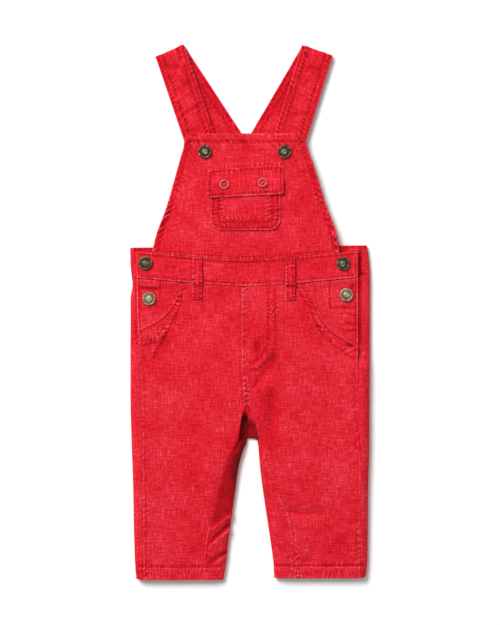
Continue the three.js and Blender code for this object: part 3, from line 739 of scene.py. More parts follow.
def bib_edge(column, sign, inset):
    """Route down one side of the bib, inside its edge"""
    level = np.linspace(181, 55, 40)
    x = along(BIB, level, column) - sign * inset
    return np.column_stack([x, bib_y(x, level)])


def bib_row(y, inset):
    """Route across the bib"""
    low, high = along(BIB, np.array([y]), 1)[0], along(BIB, np.array([y]), 2)[0]
    x = np.linspace(low + inset, high - inset, 30)
    return np.column_stack([x, np.full(30, float(y))])


# Directions of the small creases round the bib's buttons, in radians
BUTTON_CREASES = (0.4, 1.6, 2.7, 3.6, 4.7, 5.8)


def bib_relief(x, y):
    cloth = Relief(x, y, SEEDS["bib"], (0.26, 30), (0.14, 12), (0.05, 5))
    for column, sign in ((1, -1), (2, 1)):
        cloth.line(bib_edge(column, sign, 1.0), 0.2, 0.9, 0.4)
        hem = bib_edge(column, sign, BIB_HEM)
        cloth.line(hem, -0.35, 0.8, -0.6)
        cloth.line(shifted(hem, -sign * 1.3), 0.18, 0.8, 0.35)
        middle = bib_edge(column, sign, BIB_HEM / 2)
        cloth.line(middle, 0, 2.2, -0.4)
        cloth.pucker(middle, 0.65, 7.4, 2.7, -sign * 1.1, 0, 1.2)
        cloth.pucker(hem, 0.2, 5.0, 2.4, sign * 0.5)
    cloth.line(bib_row(182, 5), 0.15, 0.8, 0.4)
    topstitched(cloth, bib_row(BIB_ROW, 5), 0.12, 5.2, 2.8, slant=0.4, groove=0.4)
    cloth.line(bib_row(165.8, 8), -0.14, 0.8, -0.25)
    cloth.pucker(bib_row(170, 8), 0.1, 7, 4.5, 0.6)
    for name in ("button_bib_right", "button_bib_left"):
        at_x, at_y, _ = BUTTONS[name]
        for turn in BUTTON_CREASES:
            run = np.array([np.cos(turn), np.sin(turn)])
            start = np.array([at_x, at_y]) + BUTTON_RADIUS * run
            cloth.line([start, start + 7 * run], -0.25, 1.0, -0.25)
    lower = np.linspace(-96, 88, 60)
    seam = np.column_stack([lower, bib_y(lower, np.full(60, 54.6))])
    cloth.line(shifted(seam, 1.4), -0.2, 0.8, -0.6)
    cloth.pucker(seam, 0.12, 4.4, 2.6, 0.2)
    flap_line = curve([(FLAP["low"] + 2, FLAP["top"] - 1), (FLAP["high"] - 2, FLAP["top"] + 3)])
    cloth.line(shifted(flap_line, 2.6), 0.22, 1.2, 0.3)
    cloth.pucker(flap_line, 0.14, 4.0, 2.8)
    return cloth.done()


def pocket_route(inset):
    """Round the sides and the bottom of the bib pocket, inside its edge"""
    low, high = POCKET["low"] + inset, POCKET["high"] - inset
    bottom, corner = POCKET["bottom"] + inset, max(1.0, POCKET["corner"] - inset)
    turn = np.linspace(0, np.pi / 2, 8)
    left = np.column_stack([low + corner * (1 - np.cos(turn)), bottom + corner * (1 - np.sin(turn))])
    right = np.column_stack([high - corner * (1 - np.sin(turn)), bottom + corner * (1 - np.cos(turn))])
    sides_y = np.linspace(POCKET["top"] - 1, bottom + corner, 8)[:-1]
    down = np.column_stack([np.full(7, low), sides_y])
    up = np.column_stack([np.full(7, high), sides_y[::-1]])
    return np.vstack([down, left, right, up])


def pocket_relief(x, y):
    cloth = Relief(x, y, SEEDS["pocket"], (0.25, 14), (0.12, 5))
    cloth.line(pocket_route(0.9), 0.25, 0.8, 0.6)
    topstitched(cloth, pocket_route(POCKET_ROWS[0]), 0.26, 3.6, 2.2)
    topstitched(cloth, pocket_route(POCKET_ROWS[1]), 0.26, 3.8, 2.8, groove=0.15)
    cloth.pucker(pocket_route(5.6), 0.36, 4.2, 2.8, 0.5)
    cloth.pucker(pocket_route(12), 0.22, 4.6, 2.8, 0.3)
    cloth.line(pocket_route(6), 0, 5.0, -0.3)
    return cloth.done()


def flap_point(across, height):
    """Plan point of the flap from its offset to the middle and its height above the lower edge"""
    return np.array([FLAP_MIDDLE + across, FLAP["bottom"] + height + FLAP["tilt"] * across])


def flap_route(points):
    return curve([flap_point(across, height) for across, height in points])


def flap_row(height, inset=3.0):
    """Route across the flap at a height above its lower edge"""
    return flap_route([(inset - FLAP_HALF, height), (FLAP_HALF - inset, height)])


def flap_side(sign, inset, start, end):
    """Route up one side of the flap"""
    return flap_route([(sign * (FLAP_HALF - inset), start), (sign * (FLAP_HALF - inset), end)])


def flap_relief(x, y):
    cloth = Relief(x, y, SEEDS["flap"], (0.22, 17), (0.1, 6))
    lower = flap_row(1, 1)
    cloth.pucker(lower, 0.6, 19, 5.0, 0.2, wear_and_shading=0.1)
    cloth.line(lower, 0.25, 0.8, 0.8)
    low_row, high_row, inner_row = FLAP_ROWS
    topstitched(cloth, flap_row(low_row), 0.16, 4.4, 2.2)
    for sign in (-1, 1):
        topstitched(cloth, flap_side(sign, 2.4, 3, FLAP_DROP - 2), 0.1, 4.0, 2.2, groove=0.2)
        cloth.line(flap_side(sign, 0.8, 2, FLAP_DROP - 1), 0.15, 0.7, 0.4)
    topstitched(cloth, flap_row(high_row), 0.18, 3.8, 2.4)
    cloth.pucker(flap_row(FLAP_DROP - 5), 0.2, 4.6, 3.0)
    cloth.line(flap_row(inner_row), -0.12, 0.7, -0.2)
    for at_x, at_y in SNAPS.values():
        turn = np.linspace(0, 2 * np.pi, 20)
        ring = np.column_stack([at_x + 5.6 * np.cos(turn), at_y + 5.6 * np.sin(turn)])
        cloth.line(ring, -0.2, 1.0, -0.3, 0.1)
    return cloth.done()


# Heights of the upper surfaces under their relief

def band_base(x, y):
    return top(x, y) + BAND_RISE


def bib_height(x, y, level):
    """The bib's height, which meets the waistband's along the seam"""
    return mix(bib_top(x, level), band_base(x, y), smooth((90 - y) / 40))


def bib_base(x, y):
    """The bib's height by its plan alone, with its level found in a few steps"""
    level = np.array(y, float)
    for _ in range(4):
        level = level - (bib_y(x, level) - y) * 0.8
    return bib_height(x, y, level)


def pocket_base(x, y):
    return bib_top(x, y) + GAP + PATCH


def flap_base(x, y):
    step = GAP + PATCH + 0.2
    return pocket_base(x, y) + step * smooth((POCKET["top"] + 9 - y) / 7)


def on_band(x, y):
    """Share of a belt loop's height at which it lies on the waistband, not on the leg below"""
    return smooth((y - (BAND_TOP - BAND_DEPTH + waist_sag(x) - 5)) / 4)


def facing_base(x, y):
    """The facing's height: under the leg's front at the slash, higher along the waist seam"""
    right, left = SIDES["right"]["slash"], SIDES["left"]["slash"]
    out = np.where(x < 0, along(right, y) - x, x - along(left, y))
    risen = smooth((out - 2) / 7) * smooth((y - front_seam(x) + 9) / 7)
    return top(x, y) - FACING_DROP * (1 - 0.75 * risen)


# Meshes

def stations(start, end, step):
    """Positions from start to end, closer at both ends"""
    length = abs(end - start)
    edge = EDGE_STATIONS[EDGE_STATIONS < length / 3]
    count = max(2, int(round((length - 2 * edge[-1]) / step)))
    middle = np.linspace(edge[-1], length - edge[-1], count + 1)[1:-1]
    return start + np.sign(end - start) * np.concatenate([edge, middle, length - edge[::-1]])


def across(start, end, count):
    """Rows of positions from start to end, closer at both ends"""
    width = np.abs(end - start)[:, None]
    edge = EDGE_STATIONS * np.minimum(1, width / (3 * EDGE_STATIONS[-1]))
    inner = np.linspace(0, 1, count + 1)[1:-1]
    middle = edge[:, -1:] + (width - 2 * edge[:, -1:]) * inner
    places = np.hstack([edge, middle, width - edge[:, ::-1]])
    return start[:, None] + np.sign(end - start)[:, None] * places


def walked(points, axis):
    """Way along the rows or columns of a grid of points"""
    steps = np.linalg.norm(np.diff(points, axis=axis), axis=2)
    way = np.cumsum(steps, axis=axis)
    zero = np.zeros_like(np.take(way, [0], axis=axis))
    return np.concatenate([zero, way], axis=axis)


class Grid:
    """A grid of points with its relief, its wear and painted shade, and its place in the weave"""

    def __init__(self, x, y, z, relief=0.0, wear_and_shading=0.0, weave=None, flip=False, open_ends="tbfl", raw=1.0):
        self.points = np.stack(np.broadcast_arrays(x, y, z), axis=2).astype(float)
        self.relief = np.zeros(x.shape) + relief
        self.wear_and_shading = np.zeros(x.shape) + wear_and_shading
        self.weave = np.stack([x, y], axis=2) if weave is None else weave
        self.flip = flip
        self.open_ends = open_ends
        self.raw = raw

    def round_edges(self, thickness):
        """Lowers and fades the surface at its free edges: t, b for the rows, f, l for the columns"""
        down, along_row = walked(self.points, 0), walked(self.points, 1)
        inwards = {"t": down, "b": down[-1:] - down, "f": along_row, "l": along_row[:, -1:] - along_row}
        distance = np.minimum.reduce([inwards[end] for end in self.open_ends])
        lowered = self.raw * min(EDGE_ROUND * thickness, EDGE_DROP) * (1 - quarter(distance / 1.1))
        self.relief = self.relief * smooth(distance / 1.1 + 0.25) - lowered
        self.wear_and_shading = self.wear_and_shading + self.raw * EDGE_WEAR * bell((distance - 0.8) / 0.8)

    def triangles(self):
        rows, columns = self.relief.shape
        index = np.arange(rows * columns).reshape(rows, columns)
        a, b = index[:-1, :-1].ravel(), index[1:, :-1].ravel()
        c, d = index[1:, 1:].ravel(), index[:-1, 1:].ravel()
        faces = np.vstack([np.column_stack([a, b, c]), np.column_stack([a, c, d])])
        return faces[:, ::-1] if self.flip else faces


def normals_of(points, faces):
    corners = points[faces]
    face_normals = np.cross(corners[:, 1] - corners[:, 0], corners[:, 2] - corners[:, 0])
    normals = np.zeros_like(points)
    for corner in range(3):
        for axis in range(3):
            normals[:, axis] += np.bincount(faces[:, corner], face_normals[:, axis], len(points))
    return normals / np.maximum(np.linalg.norm(normals, axis=1), 1e-12)[:, None]


def new_mesh(name, points, faces, material, weave=None, wear_and_shading=None):
    """A shaded mesh piece that rides on the garment"""
    mesh = bpy.data.meshes.new(name)
    mesh.vertices.add(len(points))
    mesh.vertices.foreach_set("co", (points * MM).astype(np.float32).ravel())
    mesh.loops.add(faces.size)
    mesh.loops.foreach_set("vertex_index", faces.astype(np.int32).ravel())
    mesh.polygons.add(len(faces))
    mesh.polygons.foreach_set("loop_start", np.arange(0, faces.size, 3, dtype=np.int32))
    mesh.polygons.foreach_set("use_smooth", np.ones(len(faces), bool))
    mesh.update(calc_edges=True)
    if weave is not None:
        field = mesh.attributes.new("weave", "FLOAT_VECTOR", "POINT")
        flat = np.column_stack([weave * MM, np.zeros(len(weave))])
        field.data.foreach_set("vector", flat.astype(np.float32).ravel())
    if wear_and_shading is not None:
        field = mesh.attributes.new("wear_and_shading", "FLOAT", "POINT")
        field.data.foreach_set("value", wear_and_shading.astype(np.float32))
    mesh.materials.append(material)
    piece = bpy.data.objects.new(name, mesh)
    bpy.context.scene.collection.objects.link(piece)
    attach(piece, "root")
    return piece


def add_wall(name, grids, thickness, up_at=(0, 0)):
    """A closed wall of cloth behind its grids, which faces up at one row and column of the first"""
    for grid in grids:
        grid.round_edges(thickness)
    points = np.vstack([grid.points.reshape(-1, 3) for grid in grids])
    keys = np.round(points * 1000).astype(np.int64)
    _, first, merged = np.unique(keys, axis=0, return_index=True, return_inverse=True)
    merged = np.asarray(merged).ravel()
    starts = np.cumsum([0] + [grid.relief.size for grid in grids])
    faces = np.vstack([grid.triangles() + start for grid, start in zip(grids, starts)])
    faces = merged[faces]
    faces = faces[(faces != np.roll(faces, 1, axis=1)).all(axis=1)]
    points = points[first]
    relief = np.concatenate([grid.relief.ravel() for grid in grids])[first]
    wear_and_shading = np.concatenate([grid.wear_and_shading.ravel() for grid in grids])[first]
    weave = np.vstack([grid.weave.reshape(-1, 2) for grid in grids])[first]
    normals = normals_of(points, faces)
    row, column = up_at
    columns = grids[0].relief.shape[1]
    check = merged[(row % grids[0].relief.shape[0]) * columns + column]
    if normals[check, 2] < 0:
        faces, normals = faces[:, ::-1], -normals
    count = len(points)
    outside = points + normals * relief[:, None]
    inside = points - normals * thickness
    edges = np.vstack([faces[:, [0, 1]], faces[:, [1, 2]], faces[:, [2, 0]]])
    forward, backward = edges[:, 0] * count + edges[:, 1], edges[:, 1] * count + edges[:, 0]
    rim = edges[~np.isin(forward, backward)]
    a, b = rim[:, 0], rim[:, 1]
    rim_faces = np.vstack([np.column_stack([b, a, a + count]), np.column_stack([b, a + count, b + count])])
    every_face = np.vstack([faces, faces[:, ::-1] + count, rim_faces])
    piece = new_mesh(
        name + "_cloth", np.vstack([outside, inside]), every_face, MATERIALS["cloth"],
        np.vstack([weave, weave]), np.concatenate([wear_and_shading, wear_and_shading + INSIDE_SHADE]))
    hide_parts(name)
    corners = points[faces]
    area = np.linalg.norm(np.cross(corners[:, 1] - corners[:, 0], corners[:, 2] - corners[:, 0]), axis=1)
    width = sum(walked(grid.points, 1)[:, -1].max() for grid in grids)
    length = walked(grids[0].points, 0)[-1].max()
    flat = (max(0.01, round(width * MM, 3)), max(0.01, round(length * MM, 3)))
    area = min(area.sum() / 2 * MM * MM, flat[0] * flat[1])


def graded_levels(start):
    """Rows down a leg, closer at its ends and round the fork"""
    rows = stations(start, LEG_END, LEG_STEP)
    fork = FORK_Y - FORK_ROUND * np.linspace(0, 1, 9) ** 2
    return np.unique(np.round(np.concatenate([rows, fork, [CROTCH_Y, FORK_Y]]), 4))[::-1]


def seam_softness(y):
    """The inseam shows less towards the fork, where the leg rolls over it"""
    return SOFT_SEAM * mix(0.3, 1, smooth((-150 - y) / 30) + smooth((y + 90) / 6))


def add_front_leg(name, side):
    sign, end = side["sign"], side["slash_end"]
    levels = graded_levels(FRONT_START)
    outer = np.where(levels > end, along(side["slash"], levels), along(side["seam"], levels) - sign * SEAM)
    centre = mix(CENTRE_X, CROTCH_X, smooth((-50 - levels) / 35))
    inner = np.where(levels > CROTCH_Y, centre, along(side["inseam"], levels))
    clear = SEAM + FORK_CLEARANCE * smooth((levels + 152) / 10) * smooth((-110 - levels) / 12)
    x = across(outer, inner + sign * clear, COLUMNS["leg"])
    y = settle(side, x, rows_of(levels, x), front_seam, FRONT_START)
    raw = mix(seam_softness(y), 1.0, smooth((y - end + 4) / 6) * smooth((sign * (x - FORK_X) - 30) / 12))
    grid = Grid(x, y, top(x, y), *leg_relief(x, y), raw=raw)
    add_wall(name, [grid], CLOTH, (20, 20))


def wrap_columns(side, levels):
    """Columns from the side seam on the front, round the side and across the underside"""
    sign, end = side["sign"], side["slash_end"]
    edge = along(side["outer"], levels)
    seam = along(side["seam"], levels) + sign * mix(SEAM, -6.0, smooth((levels - end + 6) / 6))
    fork_seam = sign * SEAM * (1 - smooth((FORK_Y - levels) / FORK_ROUND))
    inner = np.where(levels > FORK_Y, FORK_X + sign * SEAM, inner_edge(side, levels) + fork_seam)
    seam, edge, inner = seam[:, None], edge[:, None], inner[:, None]
    shares = np.concatenate([[0, 0.02, 0.05, 0.1], np.linspace(0.16, 1, 12)[:-1]])
    over = mix(seam, edge, np.sin(shares * np.pi / 2))
    angles = np.array([0.93, 0.84, 0.72, 0.6, 0.47, 0.33, 0.17, 0])
    turn = edge - sign * UNDER_ROLL * (1 - np.sin(angles * np.pi / 2))
    flat_from, flat_to = edge - sign * UNDER_ROLL, inner + sign * UNDER_ROLL
    flat = mix(flat_from, flat_to, np.linspace(0, 1, COLUMNS["under"])[1:-1])
    back = mix(flat_to, inner, np.sin(angles[::-1] * np.pi / 2))
    x = np.hstack([over, edge, turn, flat, back, inner])
    return x, over.shape[1]


def under_relief(x, y):
    """Relief of the back, only inwards so that it stays on the surface that it lies on"""
    cloth = Relief(x, y, SEEDS["under"], (0.3, 30), (0.12, 11))
    for side in SIDES.values():
        sign = side["sign"]
        hem = hem_row(side, HEM_ROW, 8)
        cloth.line(hem, -0.3, 0.8, -0.5)
        cloth.pucker(hem, 0.2, 4.4, 3)
        inseam = table_route(side["inner"], FORK_Y - 6, LEG_END + 10, sign * 9)
        cloth.pucker(inseam, 0.15, 6, 3)
    cloth.line(shifted(CENTRE_BACK, 2.5), -0.3, 0.8, -0.5)
    cloth.line(shifted(CENTRE_BACK, -2.5), -0.2, 0.8, -0.4)
    cloth.pucker(CENTRE_BACK, 0.25, 5.4, 3.5)
    cloth.line(YOKE_ROW, -0.3, 0.9, -0.5)
    height, wear_and_shading = cloth.done()
    return np.minimum(0, height - 0.35), wear_and_shading


def add_back_leg(name, side):
    levels = graded_levels(BACK_START)
    x, folded = wrap_columns(side, levels)
    y = settle(side, x, rows_of(levels, x), back_seam, BACK_START)
    z = under(x, y)
    z[:, :folded] = back_top_side(side, x[:, :folded], y[:, :folded])
    z[:, folded] = edge_height(x[:, folded], y[:, folded])
    last = edge_height(x[:, -1], y[:, -1])
    z[:, -1] = np.where(levels > FORK_Y, z[:, -1], last)
    top_relief, top_wear_and_shading = leg_relief(x, y)
    low_relief, low_wear_and_shading = under_relief(x, y)
    columns = np.arange(x.shape[1])
    lower = smooth((columns - folded + 3) / 6)[None, :]
    relief, wear_and_shading = mix(top_relief, low_relief, lower), mix(top_wear_and_shading, low_wear_and_shading, lower)
    way = walked(np.stack([x, y, z], axis=2), 1)
    weave = np.stack([way, y], axis=2)
    below = levels <= FORK_Y
    ends = np.ones(x.shape)
    ends[below] = smooth((way[below][:, -1:] - way[below]) / 3)
    wrap = Grid(x, y, z, relief * ends, wear_and_shading, weave, open_ends="tbf", raw=SOFT_SEAM)
    inside = inside_grid(side, levels[levels <= CROTCH_Y + 0.001], way[:, -1][levels <= CROTCH_Y + 0.001])
    add_wall(name, [wrap, inside], CLOTH, (20, 0))


def inside_grid(side, levels, wrap_way):
    """From the inseam on the front, over the leg's inside, or across the crotch above the fork"""
    sign = side["sign"]
    tucked = smooth((levels + 150) / 14)
    start = along(side["inseam"], levels) - sign * mix(SEAM, -1.5, tucked)
    below = smooth((FORK_Y - levels) / FORK_ROUND)
    centre = mix(CROTCH_X, FORK_X, smooth((CROTCH_Y - levels) / 20)) + sign * SEAM
    fork_seam = sign * SEAM * (1 - below)
    end = np.where(levels <= FORK_Y, inner_edge(side, levels) + fork_seam, centre)
    shade_from = side["web_top"]
    sink = (smooth((shade_from + 3 - levels) / 10) * (1 - below))[:, None]
    shares = np.concatenate([[0, 0.012, 0.03, 0.06], np.linspace(0.1, 1, 22)])[None, :]
    start, end, tucked, below = start[:, None], end[:, None], tucked[:, None], below[:, None]
    x = mix(start, end, mix(shares, np.sin(shares * np.pi / 2), below))
    x = np.where(shares == 1, end, x)
    y = settle(side, x, rows_of(levels, x), back_seam, BACK_START)
    brink = top(x, y) - (CLOTH + GAP + 0.2) * tucked * smooth((1 - shares) * 3)
    _, fork = plan_distances(x, y)
    web = WEB_HEIGHT / 2 * (1 + quarter(fork / 3))
    z = mix(brink, web, sink * (1 - (1 - shares) ** 3))
    joined = levels <= FORK_Y
    z[joined, -1] = edge_height(x[joined, -1], y[joined, -1])
    relief, wear_and_shading = leg_relief(x, y)
    way = walked(np.stack([x, y, z], axis=2), 1)
    relief = relief * smooth((way[:, -1:] - way) / 3) * (1 - 0.8 * sink)
    weave = np.stack([wrap_way[:, None] + way[:, -1:] - way, y], axis=2)
    # Painted shade over the web between the legs, which lies deep in their shadow
    shade = smooth((shade_from - levels) / 7)[:, None] * (1 - below)
    dark = wear_and_shading * (1 - shade) - side["web_shade"] * shade * smooth(shares * 6)
    return Grid(x, y, z, relief, dark, weave, flip=True, open_ends="bf", raw=seam_softness(y))


def add_facing(name, side):
    sign, end = side["sign"], side["slash_end"]
    levels = stations(FRONT_START, end - 2, LEG_STEP)
    outer = along(side["seam"], levels) - sign * SEAM
    inner = along(side["slash"], np.maximum(levels, end)) - sign * FACING_REACH
    x = across(outer, inner, COLUMNS["facing"])
    y = settle(side, x, rows_of(levels, x), front_seam, FRONT_START)
    add_wall(name, [Grid(x, y, facing_base(x, y), *facing_relief(x, y))], CLOTH, (9, 20))


def add_front_band():
    x_line = stations(SIDES["right"]["seam"][0][1], SIDES["left"]["seam"][0][1], 1.0)
    drops = stations(0, BAND_DEPTH, 0.9)
    x, drop = np.meshgrid(x_line, drops)
    y = BAND_TOP + waist_sag(x) - drop
    add_wall("waistband_front", [Grid(x, y, band_base(x, y), *band_relief(x, y))], BAND, (9, 30))


def add_back_band():
    """From under the front's one end, round the back, to under its other end"""
    shares = stations(0, BACK_TOP - BACK_SEAM, 1.2) / (BACK_TOP - BACK_SEAM)
    level = mix(BACK_TOP, BACK_SEAM, shares)

    def half(side):
        sign = side["sign"]
        edge = along(side["outer"], level)[:, None]
        start = along(side["seam"], level)[:, None] - sign * side["band_end"]
        over = mix(start, edge, np.sin(np.linspace(0, 1, 19)[:-1] * np.pi / 2))
        angles = np.array([1.45, 1.3, 1.1, 0.9, 0.7, 0.45, 0.2, 0])
        turn = edge - sign * UNDER_ROLL * (1 - np.sin(angles))
        return over, edge, turn

    over_r, edge_r, turn_r = half(SIDES["right"])
    over_l, edge_l, turn_l = half(SIDES["left"])
    flat = mix(turn_r[:, -1:], turn_l[:, -1:], np.linspace(0, 1, COLUMNS["back_band"])[1:-1])
    x = np.hstack([over_r, edge_r, turn_r, flat, turn_l[:, ::-1], edge_l, over_l[:, ::-1]])
    share = rows_of(shares, x)
    y = mix(back_top(x), back_seam(x) + 2 * SEAM, share)
    first, last = over_r.shape[1], x.shape[1] - over_l.shape[1] - 1
    columns = np.arange(x.shape[1])[None, :] + np.zeros(x.shape, int)
    edge = edge_height(x, y)
    upper = mix(edge, top(x, y), 1 - OPENING_DROP)
    z = np.where((columns < first) | (columns > last), upper, under(x, y))
    z = np.where((columns == first) | (columns == last), edge, z)
    cloth = Relief(x, y, SEEDS["back_band"], (0.22, 18), (0.08, 6))
    x_row = np.linspace(-121, 121, 60)
    for row in (
        np.column_stack([x_row, back_top(x_row) - 2.3]),
        np.column_stack([x_row, back_seam(x_row) + 2.6]),
    ):
        topstitched(cloth, row, 0.18, 4.8, 2.6)
    # Painted shadow down the side opening; the next line is a worn edge
    cloth.line([(113.4, 66), (113.4, 34)], -0.4, 1.1, -1.5)
    cloth.line([(97.5, 63), (108, 64.8), (118.5, 65.6)], 0.4, 0.8, 1.1)
    height, wear_and_shading = cloth.done()
    # Painted shade on the band's inside beside the bib, which lies in shadow between the layers
    wear_and_shading = wear_and_shading - 1.5 * bell((x - 94) / 6) * (columns > last)
    facing_down = smooth((np.minimum(columns - first, last - columns)) / 6)
    relief = mix(height, np.minimum(0, height - 0.2), facing_down)
    way = walked(np.stack([x, y, z], axis=2), 1)
    grid = Grid(x, y, z, relief, wear_and_shading, np.stack([way, y], axis=2))
    add_wall("waistband_back", [grid], DOUBLE, (9, 3))


def add_bib():
    levels = stations(BIB[0][0], 53.6, BIB_STEP)
    low, high = along(BIB, levels, 1), along(BIB, levels, 2)
    x = across(low, high, COLUMNS["bib"])
    level = rows_of(levels, x)
    y = bib_y(x, level)
    grid = Grid(x, y, bib_height(x, y, level), *bib_relief(x, y))
    add_wall("bib", [grid], BAND, (30, 30))


def cornered(half, corner, height):
    """Half width of a patch whose lower corners are rounded, at a height above its bottom edge"""
    rest = np.maximum(0, corner - height)
    return half - corner + np.sqrt(np.maximum(0, corner * corner - rest * rest))


def corner_heights(top_height, corner):
    """Heights up a patch, closer where its lower corners turn"""
    rounded = corner * (1 - np.cos(np.linspace(0.09, np.pi / 2, 22)))
    straight = np.linspace(corner, top_height - 1.5, max(2, int((top_height - corner) / FINE_STEP)))[1:]
    edge = top_height - EDGE_STATIONS[:-1]
    return np.unique(np.concatenate([rounded, straight, edge]))[::-1]


def add_pocket():
    middle = (POCKET["low"] + POCKET["high"]) / 2
    half = (POCKET["high"] - POCKET["low"]) / 2
    heights = corner_heights(POCKET["top"] - POCKET["bottom"], POCKET["corner"])
    reach = cornered(half, POCKET["corner"], heights)
    x = middle + across(-reach, reach, COLUMNS["pocket"])
    y = rows_of(POCKET["bottom"] + heights, x)
    grid = Grid(x, y, pocket_base(x, y), *pocket_relief(x, y))
    add_wall("bib_pocket", [grid], PATCH, (9, 30))


def add_flap():
    heights = corner_heights(FLAP_DROP, FLAP["corner"])
    reach = cornered(FLAP_HALF, FLAP["corner"], heights)
    offset = across(-reach, reach, COLUMNS["flap"])
    x = FLAP_MIDDLE + offset
    y = FLAP["bottom"] + heights[:, None] + FLAP["tilt"] * offset
    grid = Grid(x, y, flap_base(x, y), *flap_relief(x, y))
    add_wall("bib_pocket_flap", [grid], PATCH, (9, 30))


def loop_relief(x, y, middle, start, end):
    cloth = Relief(x, y, SEEDS["loop"] + int(abs(middle)), (0.12, 6))
    for offset in (-LOOP_ROW, LOOP_ROW):
        topstitched(cloth, upright(middle + offset, start - 1, end + 1), 0.3, 3.4, 2.0, groove=0.25)
    # Edges of the loop: the left one painted lighter as a highlight where the light falls, the right one
    # lightly worn
    for offset, wear_and_shading in ((-4.3, 1.0), (4.3, 0.3)):
        route = upright(middle + offset, start - 1, end + 1)
        cloth.line(route, 0.2, 0.6, wear_and_shading)
        cloth.pucker(route, 0.3, 5.2, 2.4)
    # Crease where the loop crosses the waistband's lower edge, with painted shade
    crossing = BAND_TOP - BAND_DEPTH + waist_sag(middle) - 3
    cloth.line([(middle - 4.6, crossing), (middle + 4.6, crossing)], -0.3, 1.6, -0.7)
    for at in (start - LOOP_TACK, end + LOOP_TACK):
        tack = [(middle - 4.6, at), (middle + 4.6, at)]
        cloth.line(tack, -0.35, 1.0, -0.6)
        cloth.pucker(tack, 0.3, 2.6, 3.4, 0.4)
    return cloth.done()


def loop_base(x, y, middle, start, end):
    arch = LOOP_ARCH * np.sin(np.pi * np.clip((start - y) / (start - end), 0, 1))
    return top(x, y) + BAND_RISE * on_band(middle, y) + arch + GAP + PATCH


def add_loop(name, middle, start, end):
    x_line = middle + stations(-LOOP_WIDTH / 2, LOOP_WIDTH / 2, 0.55)
    x, y = np.meshgrid(x_line, stations(start, end, 0.55))
    place = (middle, start, end)
    grid = Grid(x, y, loop_base(x, y, *place), *loop_relief(x, y, *place))
    add_wall(name, [grid], PATCH, (9, 6))


# Shoulder straps

def strap_frame(strap):
    outer, inner = np.array(strap["outer"]), np.array(strap["inner"])
    fold = inner - outer
    length = np.hypot(*fold)
    away = np.array([-fold[1], fold[0]]) / length
    return outer, inner, length, away if fold[0] > 0 else -away, STRAP_HEIGHT / 2


def strap_run(strap, direction, end):
    """Length of a strap from its fold at the shoulder to where its middle reaches a height"""
    outer, inner, _, away, radius = strap_frame(strap)
    return ((outer + inner)[1] / 2 - away[1] * radius - end) / -direction[1]


def strap_plan(strap, share, inwards, direction=(0, 0), distance=0.0):
    """Plan point of a strap: a share across it, a way in from its fold, and a way along it"""
    outer, inner, _, away, _ = strap_frame(strap)
    return [mix(outer[a], inner[a], share) - away[a] * inwards + direction[a] * distance for a in (0, 1)]


def strap_front(strap, share, distance):
    x, y = strap_plan(strap, share, STRAP_HEIGHT / 2, strap["front"], distance)
    below = bib_top(x, np.minimum(y, 183)) - BAND - GAP
    return x, y, mix(STRAP_HEIGHT, below, smooth((205 - y) / 18))


def strap_back(strap, share, distance):
    x, y = strap_plan(strap, share, STRAP_HEIGHT / 2, strap["back"], distance)
    raised = np.maximum(smooth((strap["raised_below"] - y) / 18), smooth((88 - y) / 16))
    return x, y, STRAP_RAISE * raised


def strap_fold(strap, share, angle):
    radius = STRAP_HEIGHT / 2
    x, y = strap_plan(strap, share, radius - radius * np.sin(angle))
    return x, y, radius * (1 - np.cos(angle)) + 0 * share


def strap_rows(width):
    """Places of the rows of stitches across a strap"""
    return [at for inset in STRAP_ROWS for at in (inset, width - inset)]


def lengthwise(at, ends):
    """Route along a strap in its own plane"""
    return np.array([(at, end) for end in ends], float)


def strap_relief(name, u, v, width):
    """Relief in the strap's own plane: u across it from its outer edge, v along it from the fold"""
    cloth = Relief(u, v, SEEDS["strap"] + len(name), (0.25, 24), (0.15, 9))
    for at in strap_rows(width):
        topstitched(cloth, lengthwise(at, STRAP_LINES), 0.36, 4.8, 2.6, slant=0.5)
    for at in (0.9, width - 0.9):
        cloth.line(lengthwise(at, STRAP_LINES), 0.2, 0.8, 0.4)
    for start, end, height in STRAP_CREASES[name]:
        cloth.line([start, end], height, 1.9, np.sign(height) * 0.4)
    return cloth.done()


# Creases across the straps as (start, end, height), in their own plane; their ridges are lighter as wear and
# their troughs have painted shade
STRAP_CREASES = {
    "strap_right": [
        ((4, -20), (20, -27), -0.45), ((5, -26), (21, -33), 0.35), ((10, -48), (30, -44), -0.4),
        ((8, -60), (26, -66), 0.35), ((9, -74), (31, -70), -0.45), ((2, -90), (20, -95), -0.35),
    ],
    "strap_left": [
        ((6, -24), (24, -30), -0.35), ((10, -52), (30, -47), 0.3), ((4, -72), (22, -77), -0.4),
        ((12, -88), (30, -84), 0.3),
    ],
}


def add_strap(name, strap):
    _, _, width, _, radius = strap_frame(strap)
    share = (stations(0, width, 1.0) / width)[None, :]
    back_way = np.linspace(strap_run(strap, strap["back"], STRAP_BACK_END), 0, 112)[:, None]
    angles = np.linspace(0, np.pi, 12)[1:-1][:, None]
    front_way = stations(0, strap_run(strap, strap["front"], STRAP_FRONT_END), 1.05)[:, None]
    parts = [
        (strap_back(strap, share, back_way), back_way), (strap_fold(strap, share, angles), -angles * radius),
        (strap_front(strap, share, front_way), -front_way - np.pi * radius),
    ]
    x, y, z = (np.vstack([part[0][axis] for part in parts]) for axis in range(3))
    v = np.vstack([part[1] for part in parts]) + 0 * x
    u = share * width + 0 * x
    relief, wear_and_shading = strap_relief(name, u, v, width)
    back_rows = len(back_way)
    down = smooth((back_rows + 6 - np.arange(len(x))) / 6)[:, None]
    relief = mix(relief, np.minimum(0, relief - 0.3), down)
    grid = Grid(x, y, z, relief, wear_and_shading, np.stack([u, v], axis=2))
    add_wall(name, [grid], DOUBLE, (-40, 10))


# Stitches

